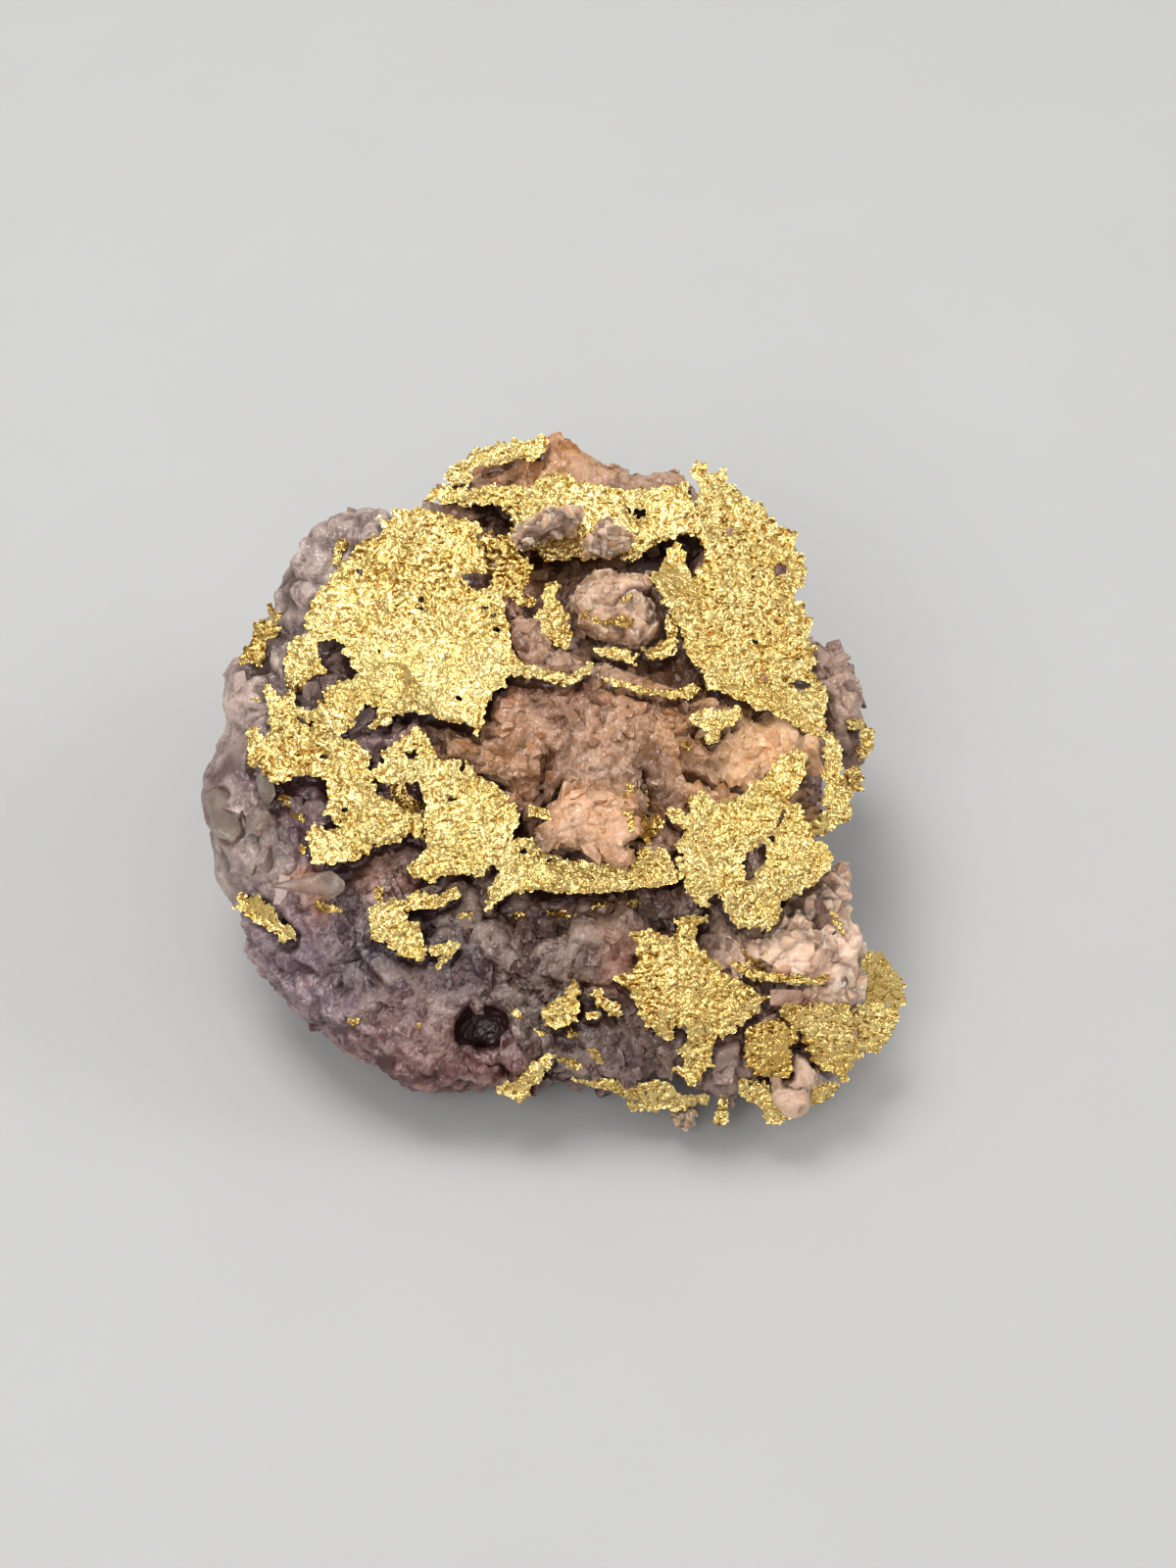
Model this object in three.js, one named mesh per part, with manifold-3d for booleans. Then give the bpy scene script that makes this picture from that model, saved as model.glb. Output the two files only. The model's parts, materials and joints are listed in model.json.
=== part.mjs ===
// Leaf gold specimen: crumpled sheets of leaf gold on a lump of quartz.
// Millimetres, +Z up, +X to the right and -Y towards the viewer. The origin is on the surface that
// the specimen rests on, under the middle of its outline.

import * as THREE from 'three';
import Module from 'manifold-3d';
import { mergeVertices } from 'three/addons/utils/BufferGeometryUtils.js';
import { ImprovedNoise } from 'three/addons/math/ImprovedNoise.js';

const wasm = await Module();
wasm.setup();

// Driving dimensions
const SPECIMEN_WIDTH = 18.1;
const CENTRE_HEIGHT = 5.5;
const QUARTZ_ROUGHNESS = 0.16;
const QUARTZ_GRAIN = 1.3;
const BACK_ROUGHNESS = 1.1;
const BACK_GRAIN = 4.5;
const CRYSTAL_HALF_DEPTH = 0.35;

// Gold leaves, and the gap that parts them from the quartz and from each other
const GAP = 0.12;
const LEAF_THICKNESS = 0.2;
const LEAF_CRUMPLE = 0.07;
const LEAF_CRUMPLE_SIZE = 0.9;
const LEAF_CELL = 1.8;
const LEAF_MARGIN = 0.2;

// A leaf lies on ground that is less than the span below its hand-set depth or less than the rise
// above it. It starts below that by the sink and is lifted in steps.
const LEAF_SPAN = 0.6;
const LEAF_RISE = 1.3;
const LEAF_SINK = 0.2;
const LEAF_LIFT_STEP = 0.05;
const MOST_LIFT = 2;

// The view that the outlines are measured in: pixels of the photograph, with a depth in millimetres
// towards the viewer.
const WIDTH_IN_PIXELS = 711;
const VIEW_CENTRE = [600, 800];
const VIEW_ELEVATION = THREE.MathUtils.degToRad(50);
const VIEW_DISTANCE = 70;
const PIXEL = SPECIMEN_WIDTH / WIDTH_IN_PIXELS;
const VIEW_TARGET = new THREE.Vector3(0, 0, CENTRE_HEIGHT);
const VIEW_UP = new THREE.Vector3(0, Math.sin(VIEW_ELEVATION), Math.cos(VIEW_ELEVATION));
const VIEW_TOWARDS = new THREE.Vector3(0, -Math.cos(VIEW_ELEVATION), Math.sin(VIEW_ELEVATION));
const EYE = VIEW_TARGET.clone().addScaledVector(VIEW_TOWARDS, VIEW_DISTANCE);

// Depths of the near and far ends of a cut that runs along the view
const NEAR = 9;
const FAR = -14;

function place(px, py, depth) {
  const scale = PIXEL * (1 - depth / VIEW_DISTANCE);
  const point = VIEW_TARGET.clone().addScaledVector(VIEW_UP, (VIEW_CENTRE[1] - py) * scale);
  point.x += (px - VIEW_CENTRE[0]) * scale;
  return point.addScaledVector(VIEW_TOWARDS, depth);
}

// Depth between hand-set points [px, py, depth]: each point counts by its nearness.
const DEPTH_BLUR = 22;
const DEPTH_FALLOFF = 1.5;

function depthAt(points, px, py) {
  let total = 0;
  let weights = 0;
  for (const [x, y, depth] of points) {
    const weight = 1 / ((x - px) ** 2 + (y - py) ** 2 + DEPTH_BLUR ** 2) ** DEPTH_FALLOFF;
    total += weight * depth;
    weights += weight;
  }
  return total / weights;
}

// Solids and meshes
const MERGE_TOLERANCE = 1e-4;
const noise = new ImprovedNoise();

function geometryOf(positions, faces) {
  const geometry = new THREE.BufferGeometry();
  const numbers = positions.flatMap((point) => point.toArray());
  geometry.setAttribute('position', new THREE.Float32BufferAttribute(numbers, 3));
  geometry.setIndex(faces.flat());
  return geometry;
}

function solidOf(geometry) {
  const bare = geometry.clone();
  bare.deleteAttribute('normal');
  bare.deleteAttribute('uv');
  const merged = mergeVertices(bare, MERGE_TOLERANCE);
  return new wasm.Manifold(new wasm.Mesh({
    numProp: 3,
    vertProperties: new Float32Array(merged.attributes.position.array),
    triVerts: new Uint32Array(merged.index.array),
  }));
}

function surfaceOf(solid) {
  const mesh = solid.getMesh();
  const geometry = new THREE.BufferGeometry();
  geometry.setAttribute('position', new THREE.BufferAttribute(mesh.vertProperties, 3));
  geometry.setIndex([...mesh.triVerts]);
  return geometry;
}

// The largest of the closed bodies in a solid, without the crumbs that a cut can leave.
function largestBody(solid) {
  const geometry = surfaceOf(solid);
  const corners = geometry.index.array;
  const owner = Array.from({ length: geometry.attributes.position.count }, (_, i) => i);
  const find = (i) => {
    while (owner[i] !== i) {
      owner[i] = owner[owner[i]];
      i = owner[i];
    }
    return i;
  };
  for (let t = 0; t < corners.length; t += 3) {
    const root = find(corners[t]);
    owner[find(corners[t + 1])] = root;
    owner[find(corners[t + 2])] = root;
  }
  const bodies = new Map();
  for (let t = 0; t < corners.length; t += 3) {
    const root = find(corners[t]);
    if (!bodies.has(root)) bodies.set(root, []);
    bodies.get(root).push(...corners.slice(t, t + 3));
  }
  const [kept] = [...bodies.values()].sort((a, b) => b.length - a.length);
  geometry.setIndex(kept);
  return mergeVertices(geometry.toNonIndexed(), MERGE_TOLERANCE);
}

// Where the noise is read for the unevenness along x, y and z, and for the broad lumps along x and y
const GRAIN_SHIFTS = [7, 31, 53];
const LUMP_SHIFTS = [5, 9];

// A stone: its outline in the view is exact, and it swells towards and away from the viewer.
// edge and front are depths over the outline and over the face, back is how far it swells behind.
// square and backSquare are under 1 for a boxy swell and over 1 for a pointed one. The rings of points
// run from the outline, which is at 0 degrees, to the middles of the face and of the back, at 90.
// grow makes the whole stone that much larger on every side.
const FRONT_RINGS = [22, 45, 66];
const BACK_RINGS = [-24, -50];

function stone({
  outline, centre, edge, front, back, square = 0.6, backSquare = 0.8, rough = QUARTZ_ROUGHNESS,
  frontRings = FRONT_RINGS, backRings = BACK_RINGS,
}, grow = 0) {
  const sectors = outline.length;
  const rings = [...[...backRings].reverse(), 0, ...frontRings].map(THREE.MathUtils.degToRad);
  const positions = [];
  const add = (px, py, depth, behind = 0) => {
    const point = place(px, py, depth);
    const { x, y, z } = point.clone().divideScalar(QUARTZ_GRAIN);
    const broad = point.clone().divideScalar(BACK_GRAIN);
    const lumps = back > BACK_GRAIN ? BACK_ROUGHNESS * behind : 0;
    point.x += rough * noise.noise(x + GRAIN_SHIFTS[0], y, z);
    point.x += lumps * noise.noise(broad.x, broad.y, LUMP_SHIFTS[0]);
    point.y += rough * noise.noise(x, y + GRAIN_SHIFTS[1], z);
    point.y += lumps * noise.noise(broad.x, LUMP_SHIFTS[1], broad.z);
    point.z += rough * noise.noise(x, y, z + GRAIN_SHIFTS[2]);
    positions.push(point);
  };
  const level = (px, py, height) => {
    const rim = depthAt(edge, px, py);
    if (height > 0) return rim + (depthAt(front, px, py) + grow - rim) * height ** square;
    return rim - (back + grow) * (-height) ** backSquare;
  };
  for (const angle of rings) {
    const reach = Math.cos(angle) ** (angle > 0 ? square : backSquare);
    const behind = Math.max(0, -Math.sin(angle));
    for (const [x, y] of outline) {
      const radius = Math.hypot(x - centre[0], y - centre[1]);
      const grown = reach * (1 + grow / PIXEL / radius);
      const px = centre[0] + (x - centre[0]) * grown;
      const py = centre[1] + (y - centre[1]) * grown;
      add(px, py, level(px, py, Math.sin(angle)), behind);
    }
  }
  add(...centre, level(...centre, -1), 1);
  add(...centre, level(...centre, 1));
  const backPole = positions.length - 2;
  const frontPole = positions.length - 1;
  const faces = [];
  for (let i = 0; i < sectors; i++) {
    const next = (i + 1) % sectors;
    faces.push([backPole, next, i]);
    for (let ring = 0; ring < rings.length - 1; ring++) {
      const low = ring * sectors;
      const high = low + sectors;
      faces.push([low + i, low + next, high + next], [low + i, high + next, high + i]);
    }
    const last = (rings.length - 1) * sectors;
    faces.push([last + i, last + next, frontPole]);
  }
  return outwards(solidOf(geometryOf(positions, faces)), positions, faces);
}

// Outlines may run either way round, so a solid that came out inside out is turned over.
function outwards(solid, positions, faces) {
  if (solid.volume() > 0) return solid;
  return solidOf(geometryOf(positions, faces.map(([a, b, c]) => [a, c, b])));
}

// A prism along the view from an outline, with holes, between two depths.
function prism(outline, holes, near, far) {
  const contour = outline.map(([x, y]) => new THREE.Vector2(x, y));
  if (THREE.ShapeUtils.isClockWise(contour)) contour.reverse();
  const gaps = holes.map((hole) => {
    const loop = hole.map(([x, y]) => new THREE.Vector2(x, y));
    if (!THREE.ShapeUtils.isClockWise(loop)) loop.reverse();
    return loop;
  });
  const loops = [contour, ...gaps];
  const flat = loops.flat();
  const count = flat.length;
  const positions = [near, far].flatMap((depth) => flat.map((p) => place(p.x, p.y, depth)));
  const faces = [];
  for (const [a, b, c] of THREE.ShapeUtils.triangulateShape(contour, gaps)) {
    faces.push([a, b, c], [a + count, c + count, b + count]);
  }
  let first = 0;
  for (const loop of loops) {
    for (let i = 0; i < loop.length; i++) {
      const a = first + i;
      const b = first + (i + 1) % loop.length;
      faces.push([a, a + count, b + count], [a, b + count, b]);
    }
    first += loop.length;
  }
  return outwards(solidOf(geometryOf(positions, faces)), positions, faces);
}

// The depth of a leaf at a pixel: it lies on the ground below it, and spans hollows and open edges at
// its hand-set depth.
function restingDepth(px, py, spanned, ground) {
  const caster = new THREE.Raycaster(EYE, place(px, py, 0).sub(EYE).normalize());
  const [hit] = caster.intersectObject(ground);
  if (!hit) return spanned;
  const surface = hit.point.clone().sub(VIEW_TARGET).dot(VIEW_TOWARDS);
  const lies = spanned - surface < LEAF_SPAN && surface - spanned < LEAF_RISE;
  return lies ? surface + LEAF_THICKNESS + GAP : spanned;
}

// The crossings of a grid over a leaf's box of the view, as [px, py, depth].
const CRUMPLE_SHIFT = 11;

function settled({ outline, depths }, ground) {
  const box = new THREE.Box2().setFromPoints(outline.map(([x, y]) => new THREE.Vector2(x, y)));
  box.expandByScalar(LEAF_MARGIN / PIXEL);
  const size = box.getSize(new THREE.Vector2());
  const columns = Math.max(1, Math.round(size.x * PIXEL / LEAF_CELL));
  const rows = Math.max(1, Math.round(size.y * PIXEL / LEAF_CELL));
  const crossings = [];
  for (let row = 0; row <= rows; row++) {
    for (let column = 0; column <= columns; column++) {
      const px = box.min.x + size.x * column / columns;
      const py = box.min.y + size.y * row / rows;
      const at = place(px, py, 0).divideScalar(LEAF_CRUMPLE_SIZE);
      const crumple = LEAF_CRUMPLE * noise.noise(at.x, at.y, at.z + CRUMPLE_SHIFT);
      crossings.push([px, py, restingDepth(px, py, depthAt(depths, px, py), ground) + crumple]);
    }
  }
  return { columns, rows, crossings };
}

// A crumpled sheet over those crossings: the stock that a leaf is cut from.
function sheet({ columns, rows, crossings }, lift, thickness) {
  const positions = [0, thickness].flatMap(
    (side) => crossings.map(([px, py, depth]) => place(px, py, depth + lift - side)),
  );
  const count = (rows + 1) * (columns + 1);
  const at = (row, column) => row * (columns + 1) + column;
  const faces = [];
  const quad = (a, b, c, d) => faces.push([a, b, c], [a, c, d]);
  for (let row = 0; row < rows; row++) {
    for (let column = 0; column < columns; column++) {
      const a = at(row, column);
      const b = at(row, column + 1);
      const c = at(row + 1, column + 1);
      const d = at(row + 1, column);
      quad(a, b, c, d);
      quad(a + count, d + count, c + count, b + count);
    }
  }
  const wall = (a, b) => quad(b, a, a + count, b + count);
  for (let column = 0; column < columns; column++) {
    wall(at(0, column), at(0, column + 1));
    wall(at(rows, column + 1), at(rows, column));
  }
  for (let row = 0; row < rows; row++) {
    wall(at(row + 1, 0), at(row, 0));
    wall(at(row, columns), at(row + 1, columns));
  }
  return outwards(solidOf(geometryOf(positions, faces)), positions, faces);
}

// Leaves are kept thick by twice the gap while they are tried against their neighbours.
function leafSolid({ outline, holes = [] }, grid, lift, margin = 0) {
  const stock = sheet(grid, lift + margin, LEAF_THICKNESS + 2 * margin);
  return stock.intersect(prism(outline, holes, NEAR, FAR));
}

// Quartz materials and gold
const quartzMass = new THREE.MeshStandardMaterial({ color: 0x8a7074, roughness: 0.55, metalness: 0 });
const quartzPale = new THREE.MeshStandardMaterial({ color: 0xa9908f, roughness: 0.5, metalness: 0 });
const quartzClear = new THREE.MeshStandardMaterial({
  color: 0xc9c0bd, roughness: 0.12, metalness: 0, transparent: true, opacity: 0.6,
});
const gold = new THREE.MeshStandardMaterial({ color: 0xe2bd5c, roughness: 0.3, metalness: 1 });

// Stones that grew together into the mass
const MASS = [
  {
    // Purple-grey body, left and bottom
    centre: [520, 830],
    outline: [
      [382, 510], [402, 522], [450, 520], [520, 510], [590, 515], [660, 535], [730, 575], [785, 635],
      [818, 705], [838, 775], [838, 840], [828, 900], [812, 960], [790, 1020], [760, 1060], [694, 1083],
      [655, 1104], [618, 1100], [559, 1102], [511, 1111], [475, 1118], [444, 1116], [418, 1108], [388, 1091],
      [354, 1074], [326, 1057], [303, 1038], [284, 1013], [264, 987], [253, 968], [241, 932], [223, 899],
      [215, 849], [207, 811], [213, 790], [229, 742], [222, 709], [235, 684], [281, 614], [281, 596],
      [306, 548], [349, 525],
    ],
    edge: [
      [382, 510, -1.2], [450, 520, -1.9], [590, 515, -3.1], [730, 575, -2.8], [818, 705, -1.8],
      [838, 840, -0.6], [790, 1020, 0.2], [655, 1104, 0.9], [475, 1118, 1.2], [326, 1057, 0.6],
      [241, 932, -0.2], [213, 790, -0.6], [281, 596, -0.9],
    ],
    front: [
      [400, 560, 1.0], [320, 620, 1.2], [290, 690, 1.3], [280, 780, 1.4], [270, 880, 1.2],
      [330, 900, 2.3], [330, 980, 2.3], [400, 1050, 2.5], [480, 1080, 2.4], [580, 1075, 2.2],
      [650, 1050, 2.3], [480, 960, 2.5], [560, 990, 2.5], [620, 960, 2.4], [430, 650, 2.0],
      [420, 760, 2.2], [430, 850, 2.4], [520, 700, 2.0], [600, 740, 1.7], [600, 800, 2.0],
      [700, 780, 1.5], [760, 860, 1.9], [750, 760, 1.2], [560, 620, -0.6], [640, 640, -0.9],
      [520, 560, -1.6], [600, 560, -2.6], [700, 590, -1.6], [770, 660, -0.9],
    ],
    back: 6.6,
    square: 0.62,
    backSquare: 1.2,
    backRings: [-14, -30, -46, -66],
    frontRings: [14, 30, 48, 68],
  },
  {
    // Brown block in the middle
    centre: [640, 770],
    outline: [
      [511, 612], [530, 640], [560, 668], [606, 682], [660, 694], [712, 708], [758, 724], [800, 744],
      [836, 770], [834, 800], [800, 840], [745, 872], [690, 878], [640, 872], [590, 862], [545, 858],
      [528, 838], [515, 812], [480, 790], [455, 755], [488, 735], [512, 700], [500, 655],
    ],
    edge: [
      [511, 612, 0.4], [660, 690, 0.6], [838, 765, -0.6], [690, 880, 1.8], [545, 858, 2.2], [470, 770, 1.8],
    ],
    front: [
      [520, 650, 1.5], [560, 690, 2.1], [600, 720, 1.9], [660, 720, 1.9], [720, 730, 1.8], [790, 760, 1.4],
      [560, 780, 2.9], [560, 840, 2.8], [620, 780, 2.6], [620, 850, 3.1], [700, 790, 2.5],
      [700, 840, 2.4], [500, 770, 2.6], [770, 800, 1.9],
    ],
    back: 2.5,
    square: 0.5,
  },
  {
    // Back slab, behind the shelf of gold
    centre: [640, 560],
    outline: [
      [440, 506], [457, 486], [482, 474], [520, 458], [553, 450], [576, 450], [600, 467], [650, 486],
      [700, 484], [745, 512], [785, 545], [806, 585], [816, 640], [824, 690], [800, 735], [740, 712],
      [700, 690], [668, 660], [630, 625], [580, 600], [520, 580], [470, 545],
    ],
    edge: [
      [440, 506, -2], [553, 448, -2.9], [700, 484, -2.6], [806, 600, -1.9], [800, 720, -1.4],
      [560, 600, -2.6],
    ],
    front: [
      [470, 510, -1.0], [520, 475, -2.0], [600, 490, -1.9], [560, 520, -1.5], [640, 530, -1.2],
      [700, 500, -1.6], [740, 560, -0.6], [700, 600, -0.3], [760, 640, 0.1], [750, 700, 0.7],
      [800, 690, 0.0], [560, 580, -2.2], [640, 600, -1.9],
    ],
    back: 3.2,
    square: 0.55,
    backSquare: 1.1,
  },
  {
    // Lower right slab
    centre: [745, 1020],
    outline: [
      [640, 955], [690, 935], [745, 925], [800, 940], [845, 985], [868, 1024], [866, 1060], [848, 1090],
      [815, 1108], [765, 1112], [728, 1108], [690, 1092], [650, 1078], [630, 1030],
    ],
    edge: [[640, 955, 0.8], [845, 985, 0.2], [860, 1070, 0.4], [765, 1112, 0.9], [650, 1078, 1.2]],
    front: [
      [660, 970, 2.2], [720, 960, 2.3], [780, 960, 2.0], [700, 1030, 2.6], [760, 1040, 2.4],
      [820, 1050, 1.9], [760, 1090, 2.1],
    ],
    back: 2.2,
    square: 0.55,
    backSquare: 1,
  },
  {
    // Grey knob at the right, behind the gold
    centre: [832, 705],
    outline: [
      [800, 650], [823, 650], [845, 664], [865, 675], [873, 700], [870, 731], [882, 748], [868, 775],
      [835, 780], [800, 760],
    ],
    edge: [[832, 705, -2.6]],
    front: [[832, 690, -1.2], [850, 740, -1.3]],
    back: 2.6,
    square: 0.6,
  },
];

// Hollows in the mass, with the same measures as the stones
const HOLLOWS = [
  {
    // Round pit low on the front
    centre: [493, 1052],
    outline: [
      [473, 1038], [482, 1030], [498, 1027], [513, 1034], [519, 1047], [515, 1063], [495, 1072],
      [473, 1070], [465, 1056],
    ],
    edge: [[493, 1052, 2.6]],
    front: [[493, 1052, 4]],
    back: 1.3,
    rough: 0,
    frontRings: [45],
    backRings: [-45],
  },
  {
    // Cleft under the shelf of gold
    centre: [632, 583],
    outline: [
      [536, 578], [560, 566], [640, 556], [712, 548], [718, 566], [690, 600], [660, 612], [600, 606],
      [560, 606], [540, 596],
    ],
    edge: [[632, 583, -1.6]],
    front: [[632, 583, 1.5]],
    back: 1.6,
    rough: 0,
    frontRings: [45],
    backRings: [-45],
  },
];

// The recess under the overhang of the front band, and the crevice beside the front lump
const CUTS = [
  {
    outline: [[500, 922], [560, 912], [640, 912], [688, 908], [684, 940], [600, 950], [520, 948]],
    floor: 1.7,
  },
  {
    outline: [[548, 838], [556, 815], [572, 790], [582, 795], [574, 818], [566, 842]],
    floor: 1.9,
  },
];

// Stones parted from the mass by gold or by an open crack
const STONES = [
  {
    name: 'quartz_knob',
    material: quartzPale,
    centre: [627, 625],
    outline: [
      [574, 614], [580, 603], [598, 593], [620, 590], [641, 593], [661, 594], [674, 612], [678, 636],
      [674, 652], [648, 659], [611, 655], [584, 640],
    ],
    edge: [[627, 625, 0.1]],
    front: [[627, 615, 1.2], [627, 640, 1.3]],
    back: 0.9,
    rough: 0.1,
    frontRings: [30, 60],
    backRings: [-40],
  },
  {
    name: 'quartz_right_lump',
    material: quartzPale,
    centre: [822, 962],
    outline: [
      [838, 892], [854, 891], [868, 906], [868, 938], [876, 950], [878, 990], [881, 1006], [872, 1021],
      [838, 1022], [812, 1020], [792, 1010], [774, 994], [762, 980], [762, 955], [780, 935], [806, 915],
    ],
    edge: [[860, 900, 0.6], [880, 1002, 0.9], [775, 985, 1.7], [765, 950, 1.8]],
    front: [[845, 915, 1.5], [800, 950, 2.6], [850, 960, 2.2], [860, 1005, 2.0], [800, 1000, 2.8]],
    back: 1.4,
    square: 0.45,
    rough: 0.26,
    frontRings: [30, 60],
    backRings: [-40],
  },
];

// Glassy crystals bedded in the left edge of the mass
const CRYSTALS = [
  {
    name: 'crystal_upper',
    centre: [265, 811],
    outline: [[261, 793], [268, 783], [278, 794], [282, 812], [274, 823], [263, 811]],
    level: 1.5,
  },
  {
    name: 'crystal_middle',
    centre: [264, 837],
    outline: [[249, 844], [256, 831], [268, 824], [276, 829], [275, 839], [265, 850], [255, 852]],
    level: 1.45,
  },
  {
    name: 'crystal_lower',
    centre: [228, 832],
    outline: [[207, 812], [222, 804], [236, 811], [244, 830], [248, 852], [234, 863], [219, 852], [211, 832]],
    level: 0.45,
  },
  {
    name: 'crystal_long',
    centre: [317, 902],
    outline: [[271, 904], [300, 891], [338, 887], [355, 901], [352, 911], [341, 917], [311, 910]],
    level: 2.5,
  },
];

// Gold leaves, from the lowest to the topmost. depths are set by hand along each leaf.
const LEAVES = [
  {
    name: 'leaf_back_rim',
    outline: [
      [455, 492], [458, 481], [470, 471], [488, 460], [505, 454], [525, 451], [541, 450], [553, 443],
      [557, 448], [551, 462], [545, 471], [530, 466], [505, 471], [488, 474], [477, 480], [479, 490],
      [467, 494],
    ],
    depths: [[460, 482, -1.4], [500, 458, -1.9], [550, 450, -2.1]],
  },
  {
    name: 'leaf_back',
    outline: [
      [432, 512], [441, 502], [456, 497], [480, 499], [505, 497], [540, 498], [556, 487], [568, 484],
      [602, 495], [630, 501], [660, 500], [700, 494], [705, 510], [708, 530], [709, 545], [694, 543],
      [680, 549], [664, 557], [650, 568], [638, 571], [630, 565], [603, 570], [577, 568], [560, 573],
      [545, 562], [526, 560], [523, 545], [525, 524], [514, 518], [503, 511], [480, 515], [458, 511],
    ],
    holes: [
      [[641, 518], [655, 516], [662, 524], [653, 532], [644, 528]],
    ],
    depths: [
      [440, 508, -0.7], [500, 503, -1.1], [570, 495, -1.5], [640, 505, -1.3], [700, 510, -1.2],
      [540, 545, -0.5], [600, 560, -0.2], [660, 555, -0.1], [700, 540, -0.5],
    ],
  },
  {
    name: 'leaf_right_large',
    outline: [
      [704, 478], [710, 471], [718, 474], [722, 484], [737, 481], [743, 491], [758, 508], [775, 513],
      [783, 525], [798, 538], [811, 547], [808, 556], [818, 568], [821, 585], [818, 598], [804, 607],
      [818, 617], [825, 631], [826, 642], [821, 651], [831, 664], [830, 677], [821, 682], [838, 697],
      [842, 705], [841, 740], [835, 752], [815, 743], [800, 731], [776, 722], [748, 711], [724, 699],
      [719, 687], [706, 672], [699, 655], [696, 638], [680, 620], [677, 608], [662, 590], [671, 582],
      [679, 575], [681, 561], [688, 555], [694, 562], [697, 574], [706, 594], [711, 584], [720, 575],
      [721, 560], [712, 545], [708, 523], [713, 508], [716, 494],
    ],
    holes: [
      [[803, 669], [812, 667], [820, 676], [811, 676]],
      [[804, 697], [817, 693], [828, 695], [832, 701], [822, 706], [810, 703]],
    ],
    depths: [
      [712, 480, -2.0], [745, 505, -1.8], [800, 550, -1.7], [818, 600, -1.5], [770, 560, -1.0],
      [715, 550, -0.4], [670, 590, 0.2], [700, 620, 0.5], [760, 620, 0.1], [822, 660, -1.0],
      [720, 680, 1.0], [770, 690, 0.7], [800, 730, 0.6], [838, 730, -0.2],
    ],
  },
  {
    name: 'leaf_far_right_upper',
    outline: [
      [866, 736], [879, 734], [884, 743], [892, 745], [891, 762], [885, 772], [877, 774], [874, 765],
      [880, 757], [877, 745], [868, 742],
    ],
    depths: [[880, 755, -1.6]],
  },
  {
    name: 'leaf_far_right_lower',
    outline: [[863, 786], [876, 783], [880, 791], [877, 799], [880, 806], [868, 808], [860, 799]],
    depths: [[872, 795, -1.2]],
  },
  {
    name: 'leaf_right_edge',
    outline: [
      [841, 751], [847, 748], [853, 758], [859, 765], [858, 782], [856, 793], [863, 804], [869, 814],
      [867, 826], [861, 839], [845, 847], [829, 856], [821, 841], [835, 834], [843, 827], [841, 812],
      [843, 800], [838, 787], [844, 776], [841, 763],
    ],
    depths: [[850, 757, 0.2], [850, 790, 0.6], [862, 822, 0.5], [834, 846, 1.3]],
  },
  {
    name: 'leaf_fringe',
    outline: [
      [489, 550], [502, 545], [520, 547], [524, 561], [536, 572], [541, 585], [536, 597], [533, 605],
      [546, 613], [547, 622], [536, 618], [521, 612], [507, 605], [503, 593], [498, 578], [492, 566],
    ],
    depths: [[497, 552, 0.8], [525, 560, 0.5], [505, 595, 1.3], [540, 615, 1.0]],
  },
  {
    name: 'leaf_lower_left',
    outline: [
      [253, 779], [256, 765], [254, 750], [260, 739], [264, 750], [272, 755], [277, 741], [275, 718],
      [271, 701], [281, 708], [287, 715], [297, 704], [302, 714], [299, 728], [305, 739], [322, 742],
      [345, 752], [364, 757], [376, 772], [374, 783], [379, 797], [383, 812], [400, 820], [412, 829],
      [428, 831], [438, 828], [436, 853], [424, 856], [419, 843], [413, 847], [410, 857], [395, 858],
      [381, 862], [368, 874], [352, 881], [335, 879], [320, 878], [318, 866], [313, 855], [319, 845],
      [334, 849], [352, 847], [343, 835], [332, 831], [339, 815], [337, 797], [325, 791], [298, 789],
      [292, 796], [280, 800], [268, 781],
    ],
    depths: [
      [260, 760, 1.5], [280, 712, 1.3], [300, 745, 1.9], [300, 780, 2.1], [365, 770, 2.6], [350, 820, 2.8],
      [400, 840, 2.9], [350, 870, 2.9], [432, 842, 2.6],
    ],
  },
  {
    name: 'leaf_upper_left',
    outline: [
      [390, 529], [399, 535], [403, 519], [420, 521], [438, 521], [455, 525], [469, 533], [488, 531],
      [489, 541], [484, 548], [490, 568], [497, 585], [480, 581], [470, 587], [476, 599], [487, 604],
      [502, 601], [514, 616], [514, 634], [518, 646], [518, 660], [531, 677], [520, 685], [514, 700],
      [501, 704], [500, 713], [493, 723], [492, 736], [486, 747], [479, 737], [464, 739], [448, 731],
      [424, 725], [400, 731], [395, 738], [380, 740], [388, 721], [372, 716], [363, 733], [346, 749],
      [330, 740], [304, 730], [303, 723], [318, 727], [333, 717], [331, 704], [345, 695], [361, 698],
      [366, 687], [358, 674], [351, 664], [353, 657], [340, 650], [320, 653], [323, 672], [331, 685],
      [318, 690], [306, 698], [292, 691], [291, 672], [300, 655], [317, 646], [311, 630], [326, 605],
      [345, 578], [372, 552], [393, 541],
    ],
    depths: [
      [420, 527, 0.8], [480, 545, 0.9], [370, 560, 1.1], [320, 620, 1.4], [300, 680, 1.5],
      [420, 610, 2.0], [500, 630, 1.8], [440, 690, 2.6], [360, 700, 2.2], [330, 735, 2.0], [485, 740, 2.8],
    ],
  },
  {
    name: 'leaf_left_edge',
    outline: [
      [244, 677], [251, 663], [258, 656], [258, 644], [263, 636], [273, 633], [286, 641], [280, 648],
      [270, 655], [268, 668], [266, 680], [256, 674],
    ],
    depths: [[250, 665, -0.5], [284, 640, 0.6], [268, 678, 0.3]],
  },
  {
    name: 'leaf_middle',
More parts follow.
